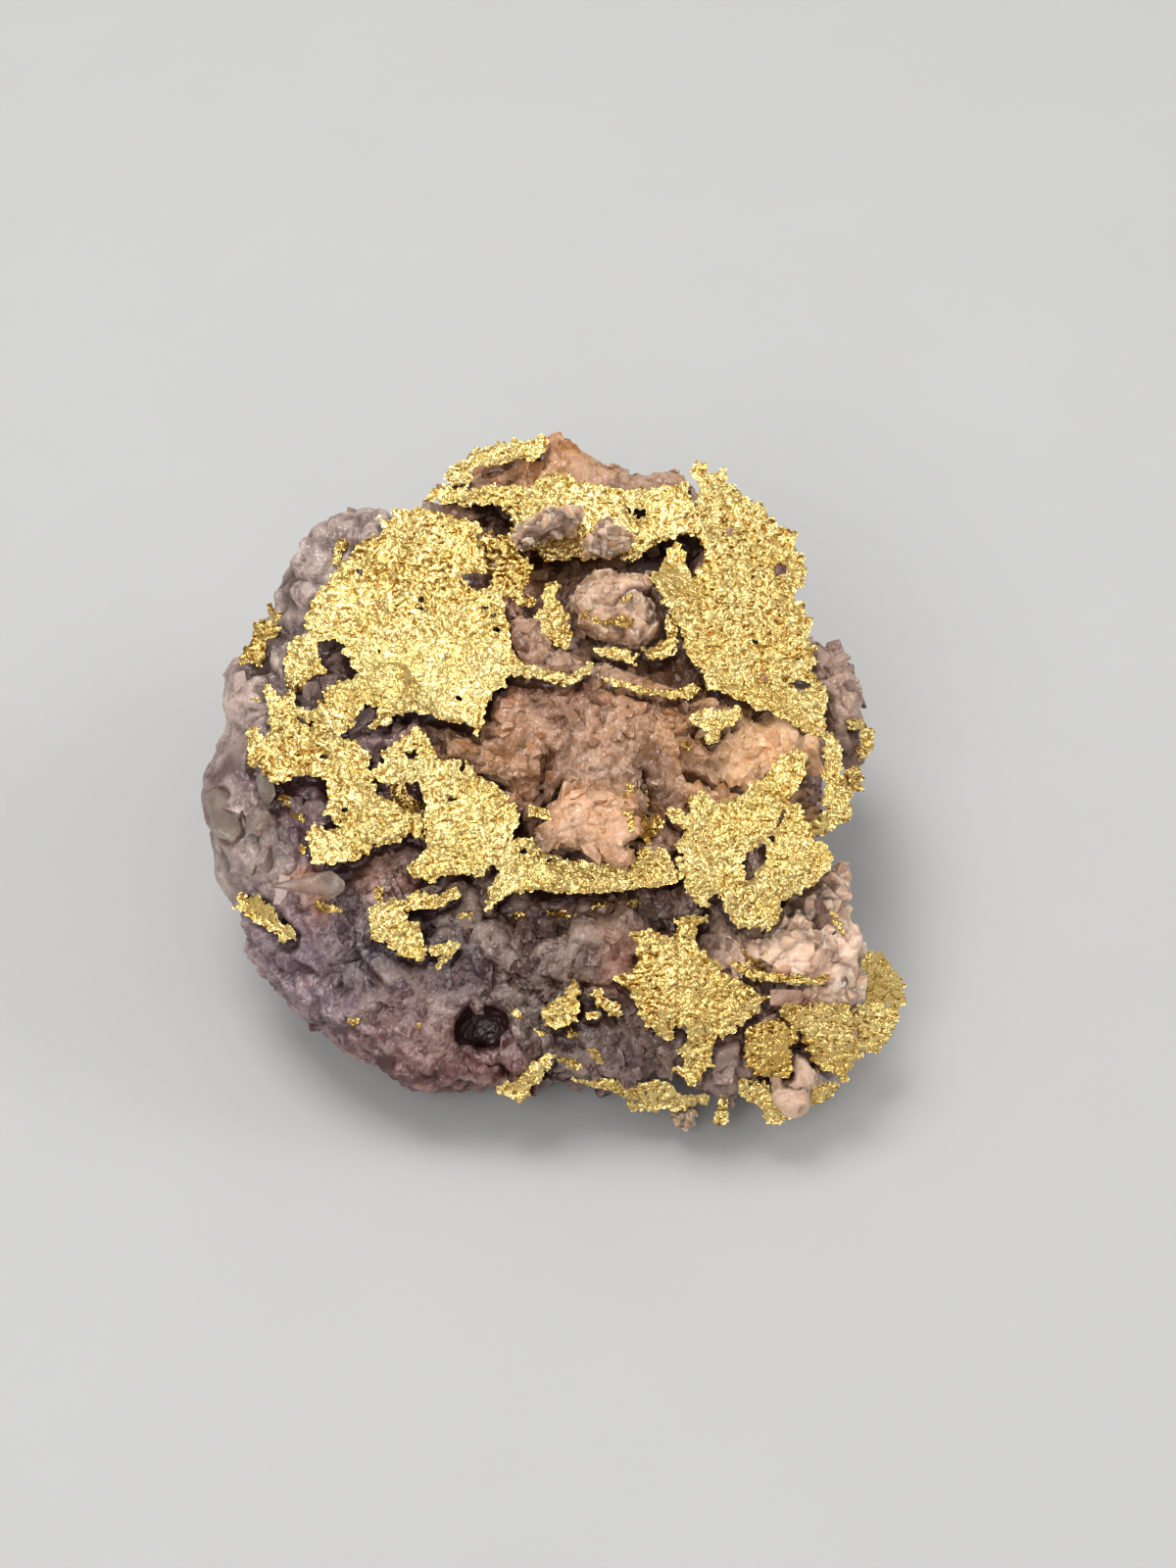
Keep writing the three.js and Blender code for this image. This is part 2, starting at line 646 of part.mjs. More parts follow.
    outline: [
      [380, 788], [386, 781], [400, 777], [388, 770], [405, 757], [418, 750], [424, 741], [432, 750],
      [440, 761], [449, 776], [468, 779], [471, 789], [477, 780], [488, 792], [515, 811], [525, 821],
      [528, 832], [526, 846], [521, 857], [541, 858], [552, 867], [573, 879], [596, 882], [627, 885],
      [646, 886], [655, 868], [677, 867], [686, 880], [692, 896], [680, 903], [652, 906], [617, 910],
      [573, 910], [540, 908], [518, 912], [503, 926], [494, 927], [503, 905], [512, 890], [499, 881],
      [492, 892], [463, 891], [438, 897], [424, 893], [418, 884], [434, 872], [437, 840], [436, 820],
      [428, 799], [405, 797], [386, 797],
    ],
    holes: [
      [[412, 768], [424, 764], [431, 769], [426, 775], [416, 774]],
    ],
    depths: [
      [420, 748, 2.3], [385, 792, 2.7], [440, 790, 2.8], [500, 820, 2.9], [450, 850, 3.0], [430, 888, 3.0],
      [515, 870, 3.1], [545, 870, 3.0], [620, 893, 3.0], [680, 885, 2.8], [505, 918, 3.2], [600, 908, 3.3],
    ],
  },
  {
    name: 'leaf_stick',
    outline: [[540, 822], [556, 826], [574, 830], [573, 837], [556, 835], [539, 833]],
    depths: [[540, 828, 3.1], [573, 833, 3.6]],
  },
  {
    name: 'leaf_front_right',
    outline: [
      [800, 771], [812, 766], [821, 769], [820, 788], [812, 806], [803, 818], [797, 826], [795, 837],
      [787, 843], [783, 858], [762, 867], [757, 880], [759, 897], [768, 900], [775, 888], [792, 856],
      [798, 840], [806, 822], [816, 820], [818, 834], [825, 842], [828, 858], [840, 862], [847, 874],
      [843, 888], [830, 900], [797, 921], [793, 940], [784, 946], [757, 944], [746, 939], [738, 914],
      [723, 912], [720, 924], [702, 910], [701, 895], [693, 888], [693, 877], [700, 870], [690, 866],
      [702, 846], [688, 838], [682, 828], [692, 826], [700, 833], [708, 830], [706, 813], [717, 809],
      [732, 818], [750, 816], [764, 811], [768, 801], [783, 796], [790, 784],
    ],
    depths: [
      [810, 775, 1.6], [790, 810, 2.0], [720, 820, 2.6], [695, 870, 2.8], [750, 850, 2.8],
      [815, 835, 2.3], [838, 880, 2.2], [800, 910, 2.9], [740, 930, 3.1],
    ],
  },
  {
    name: 'leaf_ridge_edge',
    outline: [
      [520, 688], [530, 680], [545, 681], [562, 687], [585, 689], [597, 679], [607, 676], [600, 687],
      [588, 696], [574, 699], [552, 692],
    ],
    depths: [[530, 684, 2.0], [575, 694, 2.3], [602, 680, 2.0]],
  },
  {
    name: 'leaf_sprig',
    outline: [
      [557, 597], [563, 594], [571, 598], [566, 609], [572, 620], [578, 630], [582, 652], [578, 665],
      [562, 652], [546, 641], [548, 628], [555, 617],
    ],
    depths: [[563, 600, 0.9], [565, 645, 1.2]],
  },
  {
    name: 'leaf_knob_left',
    outline: [[605, 662], [618, 660], [636, 662], [650, 668], [648, 677], [634, 676], [620, 671], [608, 667]],
    depths: [[610, 664, 1.3], [645, 672, 1.4]],
  },
  {
    name: 'leaf_knob_right',
    outline: [
      [682, 628], [688, 640], [692, 655], [686, 664], [675, 672], [662, 671], [656, 664], [668, 662],
      [678, 655], [682, 642],
    ],
    depths: [[685, 640, 0.9], [665, 667, 1.3]],
  },
  {
    name: 'leaf_seam_upper',
    outline: [
      [614, 693], [638, 696], [660, 703], [690, 705], [707, 697], [713, 702], [707, 712], [680, 711],
      [650, 706],
    ],
    depths: [[615, 695, 2.0], [660, 705, 2.0], [708, 705, 1.7]],
  },
  {
    name: 'leaf_patch',
    outline: [
      [704, 732], [716, 724], [731, 728], [745, 725], [754, 720], [757, 729], [747, 739], [736, 743],
      [733, 753], [722, 757], [723, 745], [710, 740],
    ],
    depths: [[710, 732, 1.9], [750, 728, 1.6], [728, 752, 2.0]],
  },
  {
    name: 'leaf_small_front',
    outline: [
      [377, 934], [381, 924], [390, 920], [402, 917], [410, 921], [411, 935], [417, 941], [426, 943],
      [429, 957], [437, 969], [427, 978], [405, 972], [396, 961], [381, 957],
    ],
    depths: [[392, 932, 2.9], [425, 965, 3.0]],
  },
  {
    name: 'leaf_hook',
    outline: [
      [415, 933], [415, 922], [420, 912], [432, 910], [446, 914], [466, 904], [469, 912], [464, 919],
      [441, 926], [425, 925],
    ],
    depths: [[420, 922, 2.9], [463, 913, 3.0]],
  },
  {
    name: 'leaf_spur',
    outline: [[440, 966], [452, 963], [467, 961], [467, 968], [450, 987], [443, 986], [452, 974], [441, 973]],
    depths: [[455, 970, 3.0]],
  },
  {
    name: 'leaf_left_small',
    outline: [
      [242, 925], [247, 914], [254, 920], [263, 914], [271, 921], [281, 933], [285, 943], [297, 946],
      [300, 956], [287, 958], [279, 948], [264, 941], [251, 933],
    ],
    depths: [[247, 922, 0.9], [270, 932, 1.5], [295, 951, 1.9]],
  },
  {
    name: 'leaf_spot',
    outline: [
      [552, 1034], [563, 1021], [573, 1018], [577, 1010], [585, 1003], [592, 1012], [588, 1020], [590, 1031],
      [588, 1040], [569, 1049], [559, 1044],
    ],
    depths: [[573, 1030, 2.9]],
  },
  {
    name: 'leaf_star',
    outline: [
      [601, 1013], [611, 1009], [615, 1018], [632, 1027], [632, 1034], [621, 1036], [619, 1045],
      [613, 1044], [611, 1037], [600, 1039], [599, 1034], [610, 1030], [608, 1020],
    ],
    depths: [[615, 1028, 2.9]],
  },
  {
    name: 'leaf_lower_right',
    outline: [
      [646, 953], [662, 950], [680, 957], [708, 960], [713, 971], [732, 984], [735, 994], [756, 1002],
      [779, 1019], [772, 1033], [752, 1047], [738, 1060], [733, 1052], [726, 1068], [727, 1086],
      [717, 1091], [708, 1104], [701, 1104], [690, 1092], [700, 1086], [693, 1071], [705, 1063],
      [700, 1048], [688, 1046], [683, 1060], [668, 1052], [652, 1036], [648, 1014], [640, 1003],
      [626, 999], [643, 995], [654, 984],
    ],
    depths: [
      [655, 960, 2.6], [700, 975, 2.9], [765, 1012, 2.8], [650, 1010, 2.8], [700, 1030, 3.1],
      [740, 1050, 2.9], [710, 1095, 2.5],
    ],
  },
  {
    name: 'leaf_loop',
    outline: [
      [686, 938], [703, 934], [722, 935], [721, 941], [708, 942], [711, 957], [700, 958], [689, 955],
      [692, 945],
    ],
    depths: [[705, 945, 2.7]],
  },
  {
    name: 'leaf_seam_lower',
    outline: [
      [740, 978], [760, 984], [774, 993], [800, 995], [815, 996], [828, 999], [845, 995], [840, 1003],
      [822, 1004], [790, 1000], [770, 1000], [757, 991],
    ],
    depths: [[745, 981, 2.7], [780, 997, 2.9], [842, 999, 2.4]],
  },
  {
    name: 'leaf_tail',
    outline: [
      [884, 968], [899, 975], [912, 990], [919, 1005], [920, 1022], [913, 1042], [905, 1057], [897, 1073],
      [884, 1072], [874, 1062], [867, 1050], [869, 1032], [883, 1024], [886, 1006], [882, 985],
    ],
    depths: [[887, 975, 0.8], [910, 1010, 0.5], [898, 1060, 0.9], [872, 1042, 0.9]],
  },
  {
    name: 'leaf_disc',
    outline: [
      [762, 1056], [770, 1045], [782, 1041], [796, 1042], [809, 1051], [813, 1060], [804, 1068], [806, 1080],
      [809, 1090], [798, 1099], [785, 1100], [771, 1096], [764, 1084], [761, 1070],
    ],
    depths: [[768, 1060, 2.7], [802, 1055, 2.6], [790, 1095, 2.5]],
  },
  {
    name: 'leaf_corner',
    outline: [
      [796, 1032], [800, 1026], [820, 1027], [840, 1026], [866, 1027], [868, 1040], [871, 1058], [880, 1064],
      [879, 1077], [869, 1086], [861, 1102], [850, 1089], [838, 1090], [828, 1077], [824, 1062],
      [812, 1048], [802, 1041],
    ],
    depths: [[808, 1042, 2.5], [840, 1040, 2.3], [868, 1040, 1.7], [855, 1095, 1.4]],
  },
  {
    name: 'leaf_corner_bottom',
    outline: [
      [755, 1103], [770, 1103], [781, 1105], [783, 1116], [795, 1128], [808, 1138], [800, 1143], [783, 1144],
      [779, 1133], [766, 1122], [757, 1115],
    ],
    depths: [[760, 1108, 2.2], [798, 1138, 1.8]],
  },
  {
    name: 'leaf_corner_fringe',
    outline: [
      [823, 1114], [835, 1105], [852, 1105], [857, 1108], [850, 1116], [840, 1124], [826, 1128],
      [820, 1123],
    ],
    depths: [[838, 1114, 1.2]],
  },
  {
    name: 'leaf_dangle',
    outline: [[736, 1117], [742, 1117], [741, 1130], [744, 1139], [739, 1148], [727, 1145], [732, 1133]],
    depths: [[738, 1130, 1.3]],
  },
  {
    name: 'leaf_bottom',
    outline: [
      [584, 1101], [602, 1104], [622, 1100], [640, 1103], [655, 1106], [670, 1103], [684, 1108],
      [697, 1118], [723, 1118], [722, 1126], [680, 1132], [642, 1131], [639, 1120], [625, 1112], [605, 1109],
    ],
    depths: [[600, 1106, 0.9], [650, 1118, 1.3], [715, 1124, 1.3]],
  },
  {
    name: 'leaf_bottom_spike',
    outline: [
      [562, 1075], [564, 1080], [556, 1092], [549, 1103], [541, 1106], [538, 1117], [528, 1122],
      [508, 1113], [512, 1107], [524, 1105], [538, 1090], [554, 1080],
    ],
    depths: [[560, 1078, 2.4], [540, 1098, 1.9], [518, 1114, 1.5]],
  },
];

// Stones that sit over the gold
const TOP_STONES = [
  {
    name: 'quartz_blob_left',
    centre: [564, 541],
    outline: [
      [524, 553], [530, 541], [540, 531], [556, 521], [576, 516], [592, 516], [599, 524], [597, 534],
      [588, 542], [566, 550], [544, 561], [528, 561],
    ],
    edge: [[564, 541, -0.4]],
    front: [[564, 541, 0.6]],
    back: 0.6,
  },
  {
    name: 'quartz_blob_right',
    centre: [625, 552],
    outline: [
      [591, 566], [606, 549], [609, 537], [621, 530], [637, 534], [649, 545], [646, 557], [633, 564],
      [604, 570],
    ],
    edge: [[625, 552, -0.1]],
    front: [[625, 552, 0.8]],
    back: 0.5,
  },
  {
    name: 'quartz_chip',
    centre: [813, 1106],
    outline: [
      [785, 1104], [802, 1101], [810, 1090], [809, 1077], [823, 1081], [835, 1094], [839, 1101], [830, 1108],
      [824, 1116], [817, 1133], [805, 1133], [794, 1120],
    ],
    edge: [[812, 1105, 1.3]],
    front: [[812, 1105, 2.1]],
    back: 0.6,
  },
  {
    name: 'quartz_bottom_chip',
    centre: [698, 1135],
    outline: [[678, 1134], [690, 1130], [706, 1129], [717, 1133], [709, 1140], [690, 1141]],
    edge: [[698, 1135, 1.1]],
    front: [[698, 1135, 1.4]],
    back: 0.4,
  },
];

// The lump of the brown block that stands over the front band
const FRONT_LUMP = {
  centre: [608, 846],
  outline: [
    [552, 846], [562, 834], [580, 816], [606, 803], [634, 812], [653, 836], [653, 862], [643, 886],
    [629, 886], [610, 873], [585, 861], [562, 855],
  ],
  edge: [[560, 845, 2.9], [605, 810, 2.3], [640, 870, 3.0]],
  front: [[575, 842, 3.7], [605, 825, 3.3], [635, 845, 3.6], [635, 875, 4.0], [600, 855, 4.0]],
  back: 1.2,
  square: 0.4,
  rough: 0.16,
  frontRings: [30, 60],
  backRings: [-40],
};

// Assembly
const parts = [];

let mass = MASS.map((shape) => stone(shape)).reduce((whole, piece) => whole.add(piece));
for (const hollow of HOLLOWS) mass = mass.subtract(stone(hollow));
for (const cut of CUTS) mass = mass.subtract(prism(cut.outline, [], NEAR, cut.floor));

// The flat face that the specimen rests on
const BLOCK_SIZE = 60;
const below = new THREE.BoxGeometry(BLOCK_SIZE, BLOCK_SIZE, BLOCK_SIZE);
below.translate(0, 0, -BLOCK_SIZE / 2);
mass = mass.subtract(solidOf(below));

let placed = null;

function keep(name, solid, material) {
  parts.push({ name, solid, material });
  placed = placed ? placed.add(solid) : solid;
}

for (const shape of STONES) {
  mass = mass.subtract(stone(shape, GAP));
  keep(shape.name, stone(shape), shape.material);
}

for (const { name, centre, outline, level } of CRYSTALS) {
  const shape = {
    centre,
    outline,
    edge: [[...centre, level]],
    front: [[...centre, level + CRYSTAL_HALF_DEPTH]],
    back: CRYSTAL_HALF_DEPTH,
    square: 0.8,
    rough: 0.03,
    frontRings: [45],
    backRings: [-45],
  };
  mass = mass.subtract(stone(shape, GAP));
  keep(name, stone(shape), quartzClear);
}

// Each leaf lies on the quartz and on the leaves below it, and is lifted until it clears them.
const leafBeds = [];
for (const leaf of LEAVES) {
  const others = placed.add(mass);
  const grid = settled(leaf, new THREE.Mesh(surfaceOf(others)));
  const touches = (lift) => !leafSolid(leaf, grid, lift, GAP / 2).intersect(others).isEmpty();
  let lift = -LEAF_SINK;
  while (lift < MOST_LIFT && touches(lift)) lift += LEAF_LIFT_STEP;
  leafBeds.push(leafSolid(leaf, grid, lift, GAP));
  keep(leaf.name, leafSolid(leaf, grid, lift), gold);
}

const allBeds = leafBeds.reduce((whole, bed) => whole.add(bed));
mass = mass.add(stone(FRONT_LUMP).subtract(allBeds));
for (const shape of TOP_STONES) {
  const small = { rough: 0.06, frontRings: [45], backRings: [-45], ...shape };
  const solid = stone(small).subtract(allBeds);
  mass = mass.subtract(stone(small, GAP));
  keep(shape.name, solid, quartzPale);
}
parts.unshift({ name: 'quartz_mass', solid: mass, material: quartzMass });

const group = new THREE.Group();
for (const { name, solid, material } of parts) {
  const mesh = new THREE.Mesh(largestBody(solid), material);
  mesh.name = name;
  group.add(mesh);
}

const bounds = new THREE.Box3().setFromObject(group);
const middle = bounds.getCenter(new THREE.Vector3());
group.position.set(-middle.x, -middle.y, -bounds.min.z);

export default group;
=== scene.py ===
"""Leaf gold specimen: ragged sheets of native gold in and over a lump of quartz.

Shapes are worked out in millimetres in the picture's own frame (pixels across and down, and a depth
towards the viewer), and turned into metres when a mesh is made.
"""
import itertools
import json
import math

import bmesh
import bpy
import numpy as np
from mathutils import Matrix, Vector
from mathutils.bvhtree import BVHTree


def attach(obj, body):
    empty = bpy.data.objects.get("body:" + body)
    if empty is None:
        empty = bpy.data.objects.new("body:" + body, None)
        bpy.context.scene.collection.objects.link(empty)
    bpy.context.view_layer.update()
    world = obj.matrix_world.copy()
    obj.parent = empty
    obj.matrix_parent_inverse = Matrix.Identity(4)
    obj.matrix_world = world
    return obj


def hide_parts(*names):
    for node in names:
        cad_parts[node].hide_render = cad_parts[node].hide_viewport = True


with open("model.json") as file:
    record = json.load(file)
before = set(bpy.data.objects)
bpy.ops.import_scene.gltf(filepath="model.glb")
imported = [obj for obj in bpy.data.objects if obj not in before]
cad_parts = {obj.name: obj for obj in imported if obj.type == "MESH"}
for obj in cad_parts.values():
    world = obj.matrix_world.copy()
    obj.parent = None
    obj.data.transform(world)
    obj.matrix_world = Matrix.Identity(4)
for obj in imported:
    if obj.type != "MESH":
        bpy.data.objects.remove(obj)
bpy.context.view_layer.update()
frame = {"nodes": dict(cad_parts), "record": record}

# The picture's frame

MM = 0.001
PICTURE_SIZE = (1200, 1600)
SPECIMEN_WIDTH = 18.1
PIXELS_ACROSS_SPECIMEN = 711
PIXEL = SPECIMEN_WIDTH / PIXELS_ACROSS_SPECIMEN
ELEVATION = math.radians(50)
DISTANCE = 70.0
AIM = np.array((1.0073, -1.0407, 5.5))

ACROSS = np.array((1.0, 0.0, 0.0))
UP = np.array((0.0, math.sin(ELEVATION), math.cos(ELEVATION)))
TOWARDS = np.array((0.0, -math.cos(ELEVATION), math.sin(ELEVATION)))
EYE = AIM + DISTANCE * TOWARDS


def to_world(px, py, depth):
    """Points in millimetres from pixels and depths."""
    scale = PIXEL * (1 - depth / DISTANCE)
    across = (px - PICTURE_SIZE[0] / 2) * scale
    up = (PICTURE_SIZE[1] / 2 - py) * scale
    return AIM + np.outer(across, ACROSS) + np.outer(up, UP) + np.outer(depth, TOWARDS)


def to_picture(points):
    """Pixels across, pixels down and depths of points in millimetres."""
    away = points - AIM
    depth = away @ TOWARDS
    scale = PIXEL * (1 - depth / DISTANCE)
    px = PICTURE_SIZE[0] / 2 + away @ ACROSS / scale
    py = PICTURE_SIZE[1] / 2 - away @ UP / scale
    return px, py, depth


# Meshes

# The sharpest fold of a leaf that still looks smooth
SHARPEST_FOLD = math.radians(50)


def mesh_arrays(mesh):
    """A mesh's vertices in its own units, and its faces as lists of indices."""
    points = np.empty(len(mesh.vertices) * 3)
    mesh.vertices.foreach_get("co", points)
    return points.reshape(-1, 3), [tuple(face.vertices) for face in mesh.polygons]


def merged(points, faces):
    """The same mesh with each place held once."""
    unique, index = np.unique(np.round(points, 4), axis=0, return_inverse=True)
    index = index.reshape(-1)
    return unique, [tuple(int(index[i]) for i in face) for face in faces]


def node_arrays(node):
    """A node's vertices in millimetres and its faces."""
    points, faces = mesh_arrays(frame["nodes"][node].data)
    return merged(points / MM, faces)


def joined(meshes):
    """One mesh from several."""
    points = []
    faces = []
    for some_points, some_faces in meshes:
        start = sum(len(part) for part in points)
        points.append(some_points)
        faces += [tuple(start + i for i in face) for face in some_faces]
    return np.concatenate(points), faces


def tree_of(points, faces):
    return BVHTree.FromPolygons(points.tolist(), faces)


def make_piece(name, points, faces, slot, tone=None, smooth=True):
    """An object of that name from points in millimetres. Its material reads tone, a number a vertex."""
    mesh = bpy.data.meshes.new(name)
    mesh.from_pydata((points * MM).tolist(), [], faces)
    mesh.update()
    mesh.materials.append(MATERIALS[slot])
    mesh.polygons.foreach_set("use_smooth", [smooth] * len(mesh.polygons))
    if slot == "gold":
        mesh.set_sharp_from_angle(angle=SHARPEST_FOLD)
    if tone is not None:
        layer = mesh.attributes.new("tone", "FLOAT", "POINT")
        layer.data.foreach_set("value", tone)
    # The quartz holds at each vertex the colour and strength of its stains and of its painted light and
    # shade
    if slot == "quartz":
        layer = mesh.attributes.new("stain_and_painted_light", "FLOAT_COLOR", "POINT")
        layer.data.foreach_set("color", stains_and_painted_light(points).ravel())
    piece = bpy.data.objects.new(name, mesh)
    bpy.context.scene.collection.objects.link(piece)
    return piece


def make_part(name, points, faces, slot, tone, node=None, smooth=True):
    """A piece of the specimen, which stands for a node if one is named."""
    piece = make_piece(name, points, faces, slot, tone, smooth)
    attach(piece, "root")
    if node:
        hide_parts(node)
    return piece


# Fields of random shapes, which are the same each time for the same seed

# Where the seeds of the leaves, the rocks and the flecks start
LEAF_SEED = 100
STONE_SEED = 1000
FLECK_SEED = 5000


def unit(vectors):
    return vectors / np.linalg.norm(vectors, axis=1)[:, None]


DIRECTIONS = unit(np.random.default_rng(5).normal(size=(64, 3)))


def shuffled(*numbers):
    """Whole numbers that look random but depend only on the whole numbers given."""
    state = np.full(np.broadcast(*numbers).shape, 2166136261, np.uint32)
    for number in numbers:
        state = (state ^ np.asarray(number, np.int64).astype(np.uint32)) * np.uint32(16777619)
        state = (state ^ (state >> np.uint32(13))) * np.uint32(1540483477)
        state = state ^ (state >> np.uint32(15))
    return state


def smoothstep(low, high, value):
    t = np.clip((value - low) / (high - low), 0, 1)
    return t * t * (3 - 2 * t)


def noise(points, size, seed):
    """Smooth noise from about -1 to 1 for each row of points, with features of that size."""
    at = points / size
    cell = np.floor(at).astype(np.int64)
    inside = at - cell
    ease = inside ** 3 * (inside * (inside * 6 - 15) + 10)
    total = np.zeros(len(points))
    for corner in itertools.product((0, 1), repeat=points.shape[1]):
        number = shuffled(seed, *(cell + corner).T)
        slope = DIRECTIONS[number % len(DIRECTIONS), :points.shape[1]]
        weight = np.where(corner, ease, 1 - ease).prod(axis=1)
        total += ((inside - corner) * slope).sum(axis=1) * weight
    return total * 1.7


def cells(points, size, seed):
    """The grain each point is in: its gap to the next grain, its place from the grain's middle, and the
    grain's number."""
    at = points / size
    home = np.floor(at).astype(np.int64)
    nearest = np.full(len(at), np.inf)
    second = np.full(len(at), np.inf)
    middle = np.zeros(at.shape)
    number = np.zeros(len(at), np.uint32)
    for step in itertools.product((-1, 0, 1), repeat=3):
        key = shuffled(seed, *(home + step).T)
        spot = home + step + np.column_stack([key & 1023, key >> 10 & 1023, key >> 20 & 1023]) / 1023
        away = ((at - spot) ** 2).sum(axis=1)
        closer = away < nearest
        second = np.where(closer, nearest, np.minimum(second, away))
        nearest = np.where(closer, away, nearest)
        middle[closer] = spot[closer]
        number[closer] = key[closer]
    return np.sqrt(second) - np.sqrt(nearest), at - middle, number


def waves(px, py, size, seed, stretch=1.0):
    """Smooth noise over the picture, with features of that size in pixels."""
    flat = np.column_stack([px.ravel() / stretch, py.ravel()])
    return noise(flat, size, seed).reshape(px.shape)


def ovals(px, py, places):
    """1 in the middle of each oval of the picture, fading to 0 at its rim, from (x, y, half width, half
    height)."""
    total = np.zeros(px.shape)
    for x, y, half_width, half_height in places:
        away = np.hypot((px - x) / half_width, (py - y) / half_height)
        total = np.maximum(total, 1 - smoothstep(0.5, 1.1, away))
    return total


def from_segment(px, py, start, end):
    """Square of the distance in pixels from a straight line between two places."""
    dx, dy = end[0] - start[0], end[1] - start[1]
    along = ((px - start[0]) * dx + (py - start[1]) * dy) / max(dx * dx + dy * dy, 1e-9)
    along = np.clip(along, 0, 1)
    return (px - start[0] - along * dx) ** 2 + (py - start[1] - along * dy) ** 2


# The bare stone that the solids give, to measure depths on

SLOT_OF = {entry["node"]: entry["material_slot"] for entry in frame["record"]["subparts"]}
GOLD_NODES = sorted(node for node, slot in SLOT_OF.items() if slot == "gold")
STONE_NODES = sorted(node for node, slot in SLOT_OF.items() if slot != "gold")
bare_stone = tree_of(*joined([node_arrays(node) for node in STONE_NODES]))


def depth_of_surface(tree, px, py):
    """Depth of a surface at each pixel, or nan where a line of sight misses it."""
    depths = []
    for aim in to_world(px, py, np.zeros(px.shape)):
        hit = tree.ray_cast(Vector(EYE), Vector(aim - EYE))[0]
        depths.append(np.nan if hit is None else (np.array(hit) - AIM) @ TOWARDS)
    return np.array(depths)


def place_on_stone(px, py):
    """The point in millimetres of the bare stone that shows at a pixel, or the stone nearest to it."""
    across, down = np.array([float(px)]), np.array([float(py)])
    depth = depth_of_surface(bare_stone, across, down)
    if np.isnan(depth[0]):
        return np.array(bare_stone.find_nearest(Vector(to_world(across, down, np.ones(1))[0]))[0])
    return to_world(across, down, depth)[0]


# Shader graphs

class Value:
    """A socket that Python's operators work on."""

    def __init__(self, graph, socket):
        self.graph = graph
        self.socket = socket

    def _math(self, operation, *numbers):
        return self.graph.add("ShaderNodeMath", {"operation": operation}, dict(enumerate(numbers)))

    def __add__(self, other):
        return self._math("ADD", self, other)

    __radd__ = __add__

    def __sub__(self, other):
        return self._math("SUBTRACT", self, other)

    def __rsub__(self, other):
        return self._math("SUBTRACT", other, self)

    def __mul__(self, other):
        return self._math("MULTIPLY", self, other)

    __rmul__ = __mul__


class Graph:
    """The nodes of one material or world."""

    def __init__(self, tree, output):
        self.tree = tree
        self.tree.nodes.clear()
        self.output = self.tree.nodes.new(output)

    def add(self, kind, settings=None, sockets=None, output=0):
        """A node of that kind, with its settings first and then its sockets' values or links."""
        node = self.tree.nodes.new(kind)
        for key, value in (settings or {}).items():
            setattr(node, key, value)
        for key, value in (sockets or {}).items():
            if isinstance(value, Value):
                self.tree.links.new(value.socket, node.inputs[key])
            else:
                node.inputs[key].default_value = value
        return Value(self, node.outputs[output])

    def finish(self, shader):
        self.tree.links.new(shader.socket, self.output.inputs["Surface"])

    def noise(self, size, detail=3.0, rough=0.6, warp=0.0):
        """Noise from 0 to 1, with features of that size in millimetres."""
        sockets = {
            "Vector": self.add("ShaderNodeTexCoord", output="Object"), "Scale": 1 / (size * MM),
            "Detail": detail, "Roughness": rough, "Distortion": warp,
        }
        return self.add("ShaderNodeTexNoise", {}, sockets)

    def grains(self, size, warp):
        """Grains of that size in millimetres, with outlines that wander by warp millimetres: a random
        shade of each from 0 to 1, how far each place is from its grain's middle, and from its rim."""
        place = self.add("ShaderNodeTexCoord", output="Object")
        drift = self.add("ShaderNodeTexNoise", {}, {"Vector": place, "Scale": 0.6 / (size * MM)}, "Color")
        sockets = {0: drift, 1: (warp * MM,) * 3, 2: place}
        place = self.add("ShaderNodeVectorMath", {"operation": "MULTIPLY_ADD"}, sockets)
        sockets = {"Vector": place, "Scale": 1 / (size * MM)}
        number = self.add("ShaderNodeTexVoronoi", {}, sockets, "Color")
        shade = self.add("ShaderNodeSeparateColor", {}, {"Color": number})
        away = self.add("ShaderNodeTexVoronoi", {}, sockets)
        rim = self.add("ShaderNodeTexVoronoi", {"feature": "DISTANCE_TO_EDGE"}, sockets)
        return shade, away, rim

    def step(self, value, low, high):
        """0 below low, 1 above high and smooth between."""
        settings = {"interpolation_type": "SMOOTHSTEP"}
        return self.add("ShaderNodeMapRange", settings, {"Value": value, "From Min": low, "From Max": high})

    def mix(self, factor, first, second):
        return self.add("ShaderNodeMix", {"data_type": "RGBA"}, {0: factor, 6: first, 7: second}, 2)

    def near(self, centre, radius, wander):
        """1 within radius of a point, with a ragged, soft rim; lengths in millimetres."""
        sockets = {0: self.add("ShaderNodeTexCoord", output="Object"), 1: tuple(centre * MM)}
        away = self.add("ShaderNodeVectorMath", {"operation": "DISTANCE"}, sockets, 1)
        away = away + (wander - 0.5) * (radius * 1.2 * MM)
        return 1 - self.step(away, radius * 0.65 * MM, radius * 1.3 * MM)

    def attribute(self, name, output="Fac"):
        """A number or colour that the mesh holds for each vertex."""
        return self.add("ShaderNodeAttribute", {"attribute_name": name}, {}, output)

    def bump(self, height, depth):
        """A bump of that depth in millimetres."""
        sockets = {"Height": height, "Distance": depth * MM, "Strength": 1.0}
        return self.add("ShaderNodeBump", {}, sockets, "Normal")

    def surface(self, **sockets):
        """The finished surface, from the names of its sockets in small letters."""
        named = {}
        for key, value in sockets.items():
            named[key.replace("_", " ").title().replace("Ior", "IOR")] = value
        self.finish(self.add("ShaderNodeBsdfPrincipled", {}, named))


def material(name, finish):
    """A material of that name, whose nodes finish adds."""
    result = bpy.data.materials.new(name)
    result.use_nodes = True
    finish(Graph(result.node_tree, "ShaderNodeOutputMaterial"))
    return result


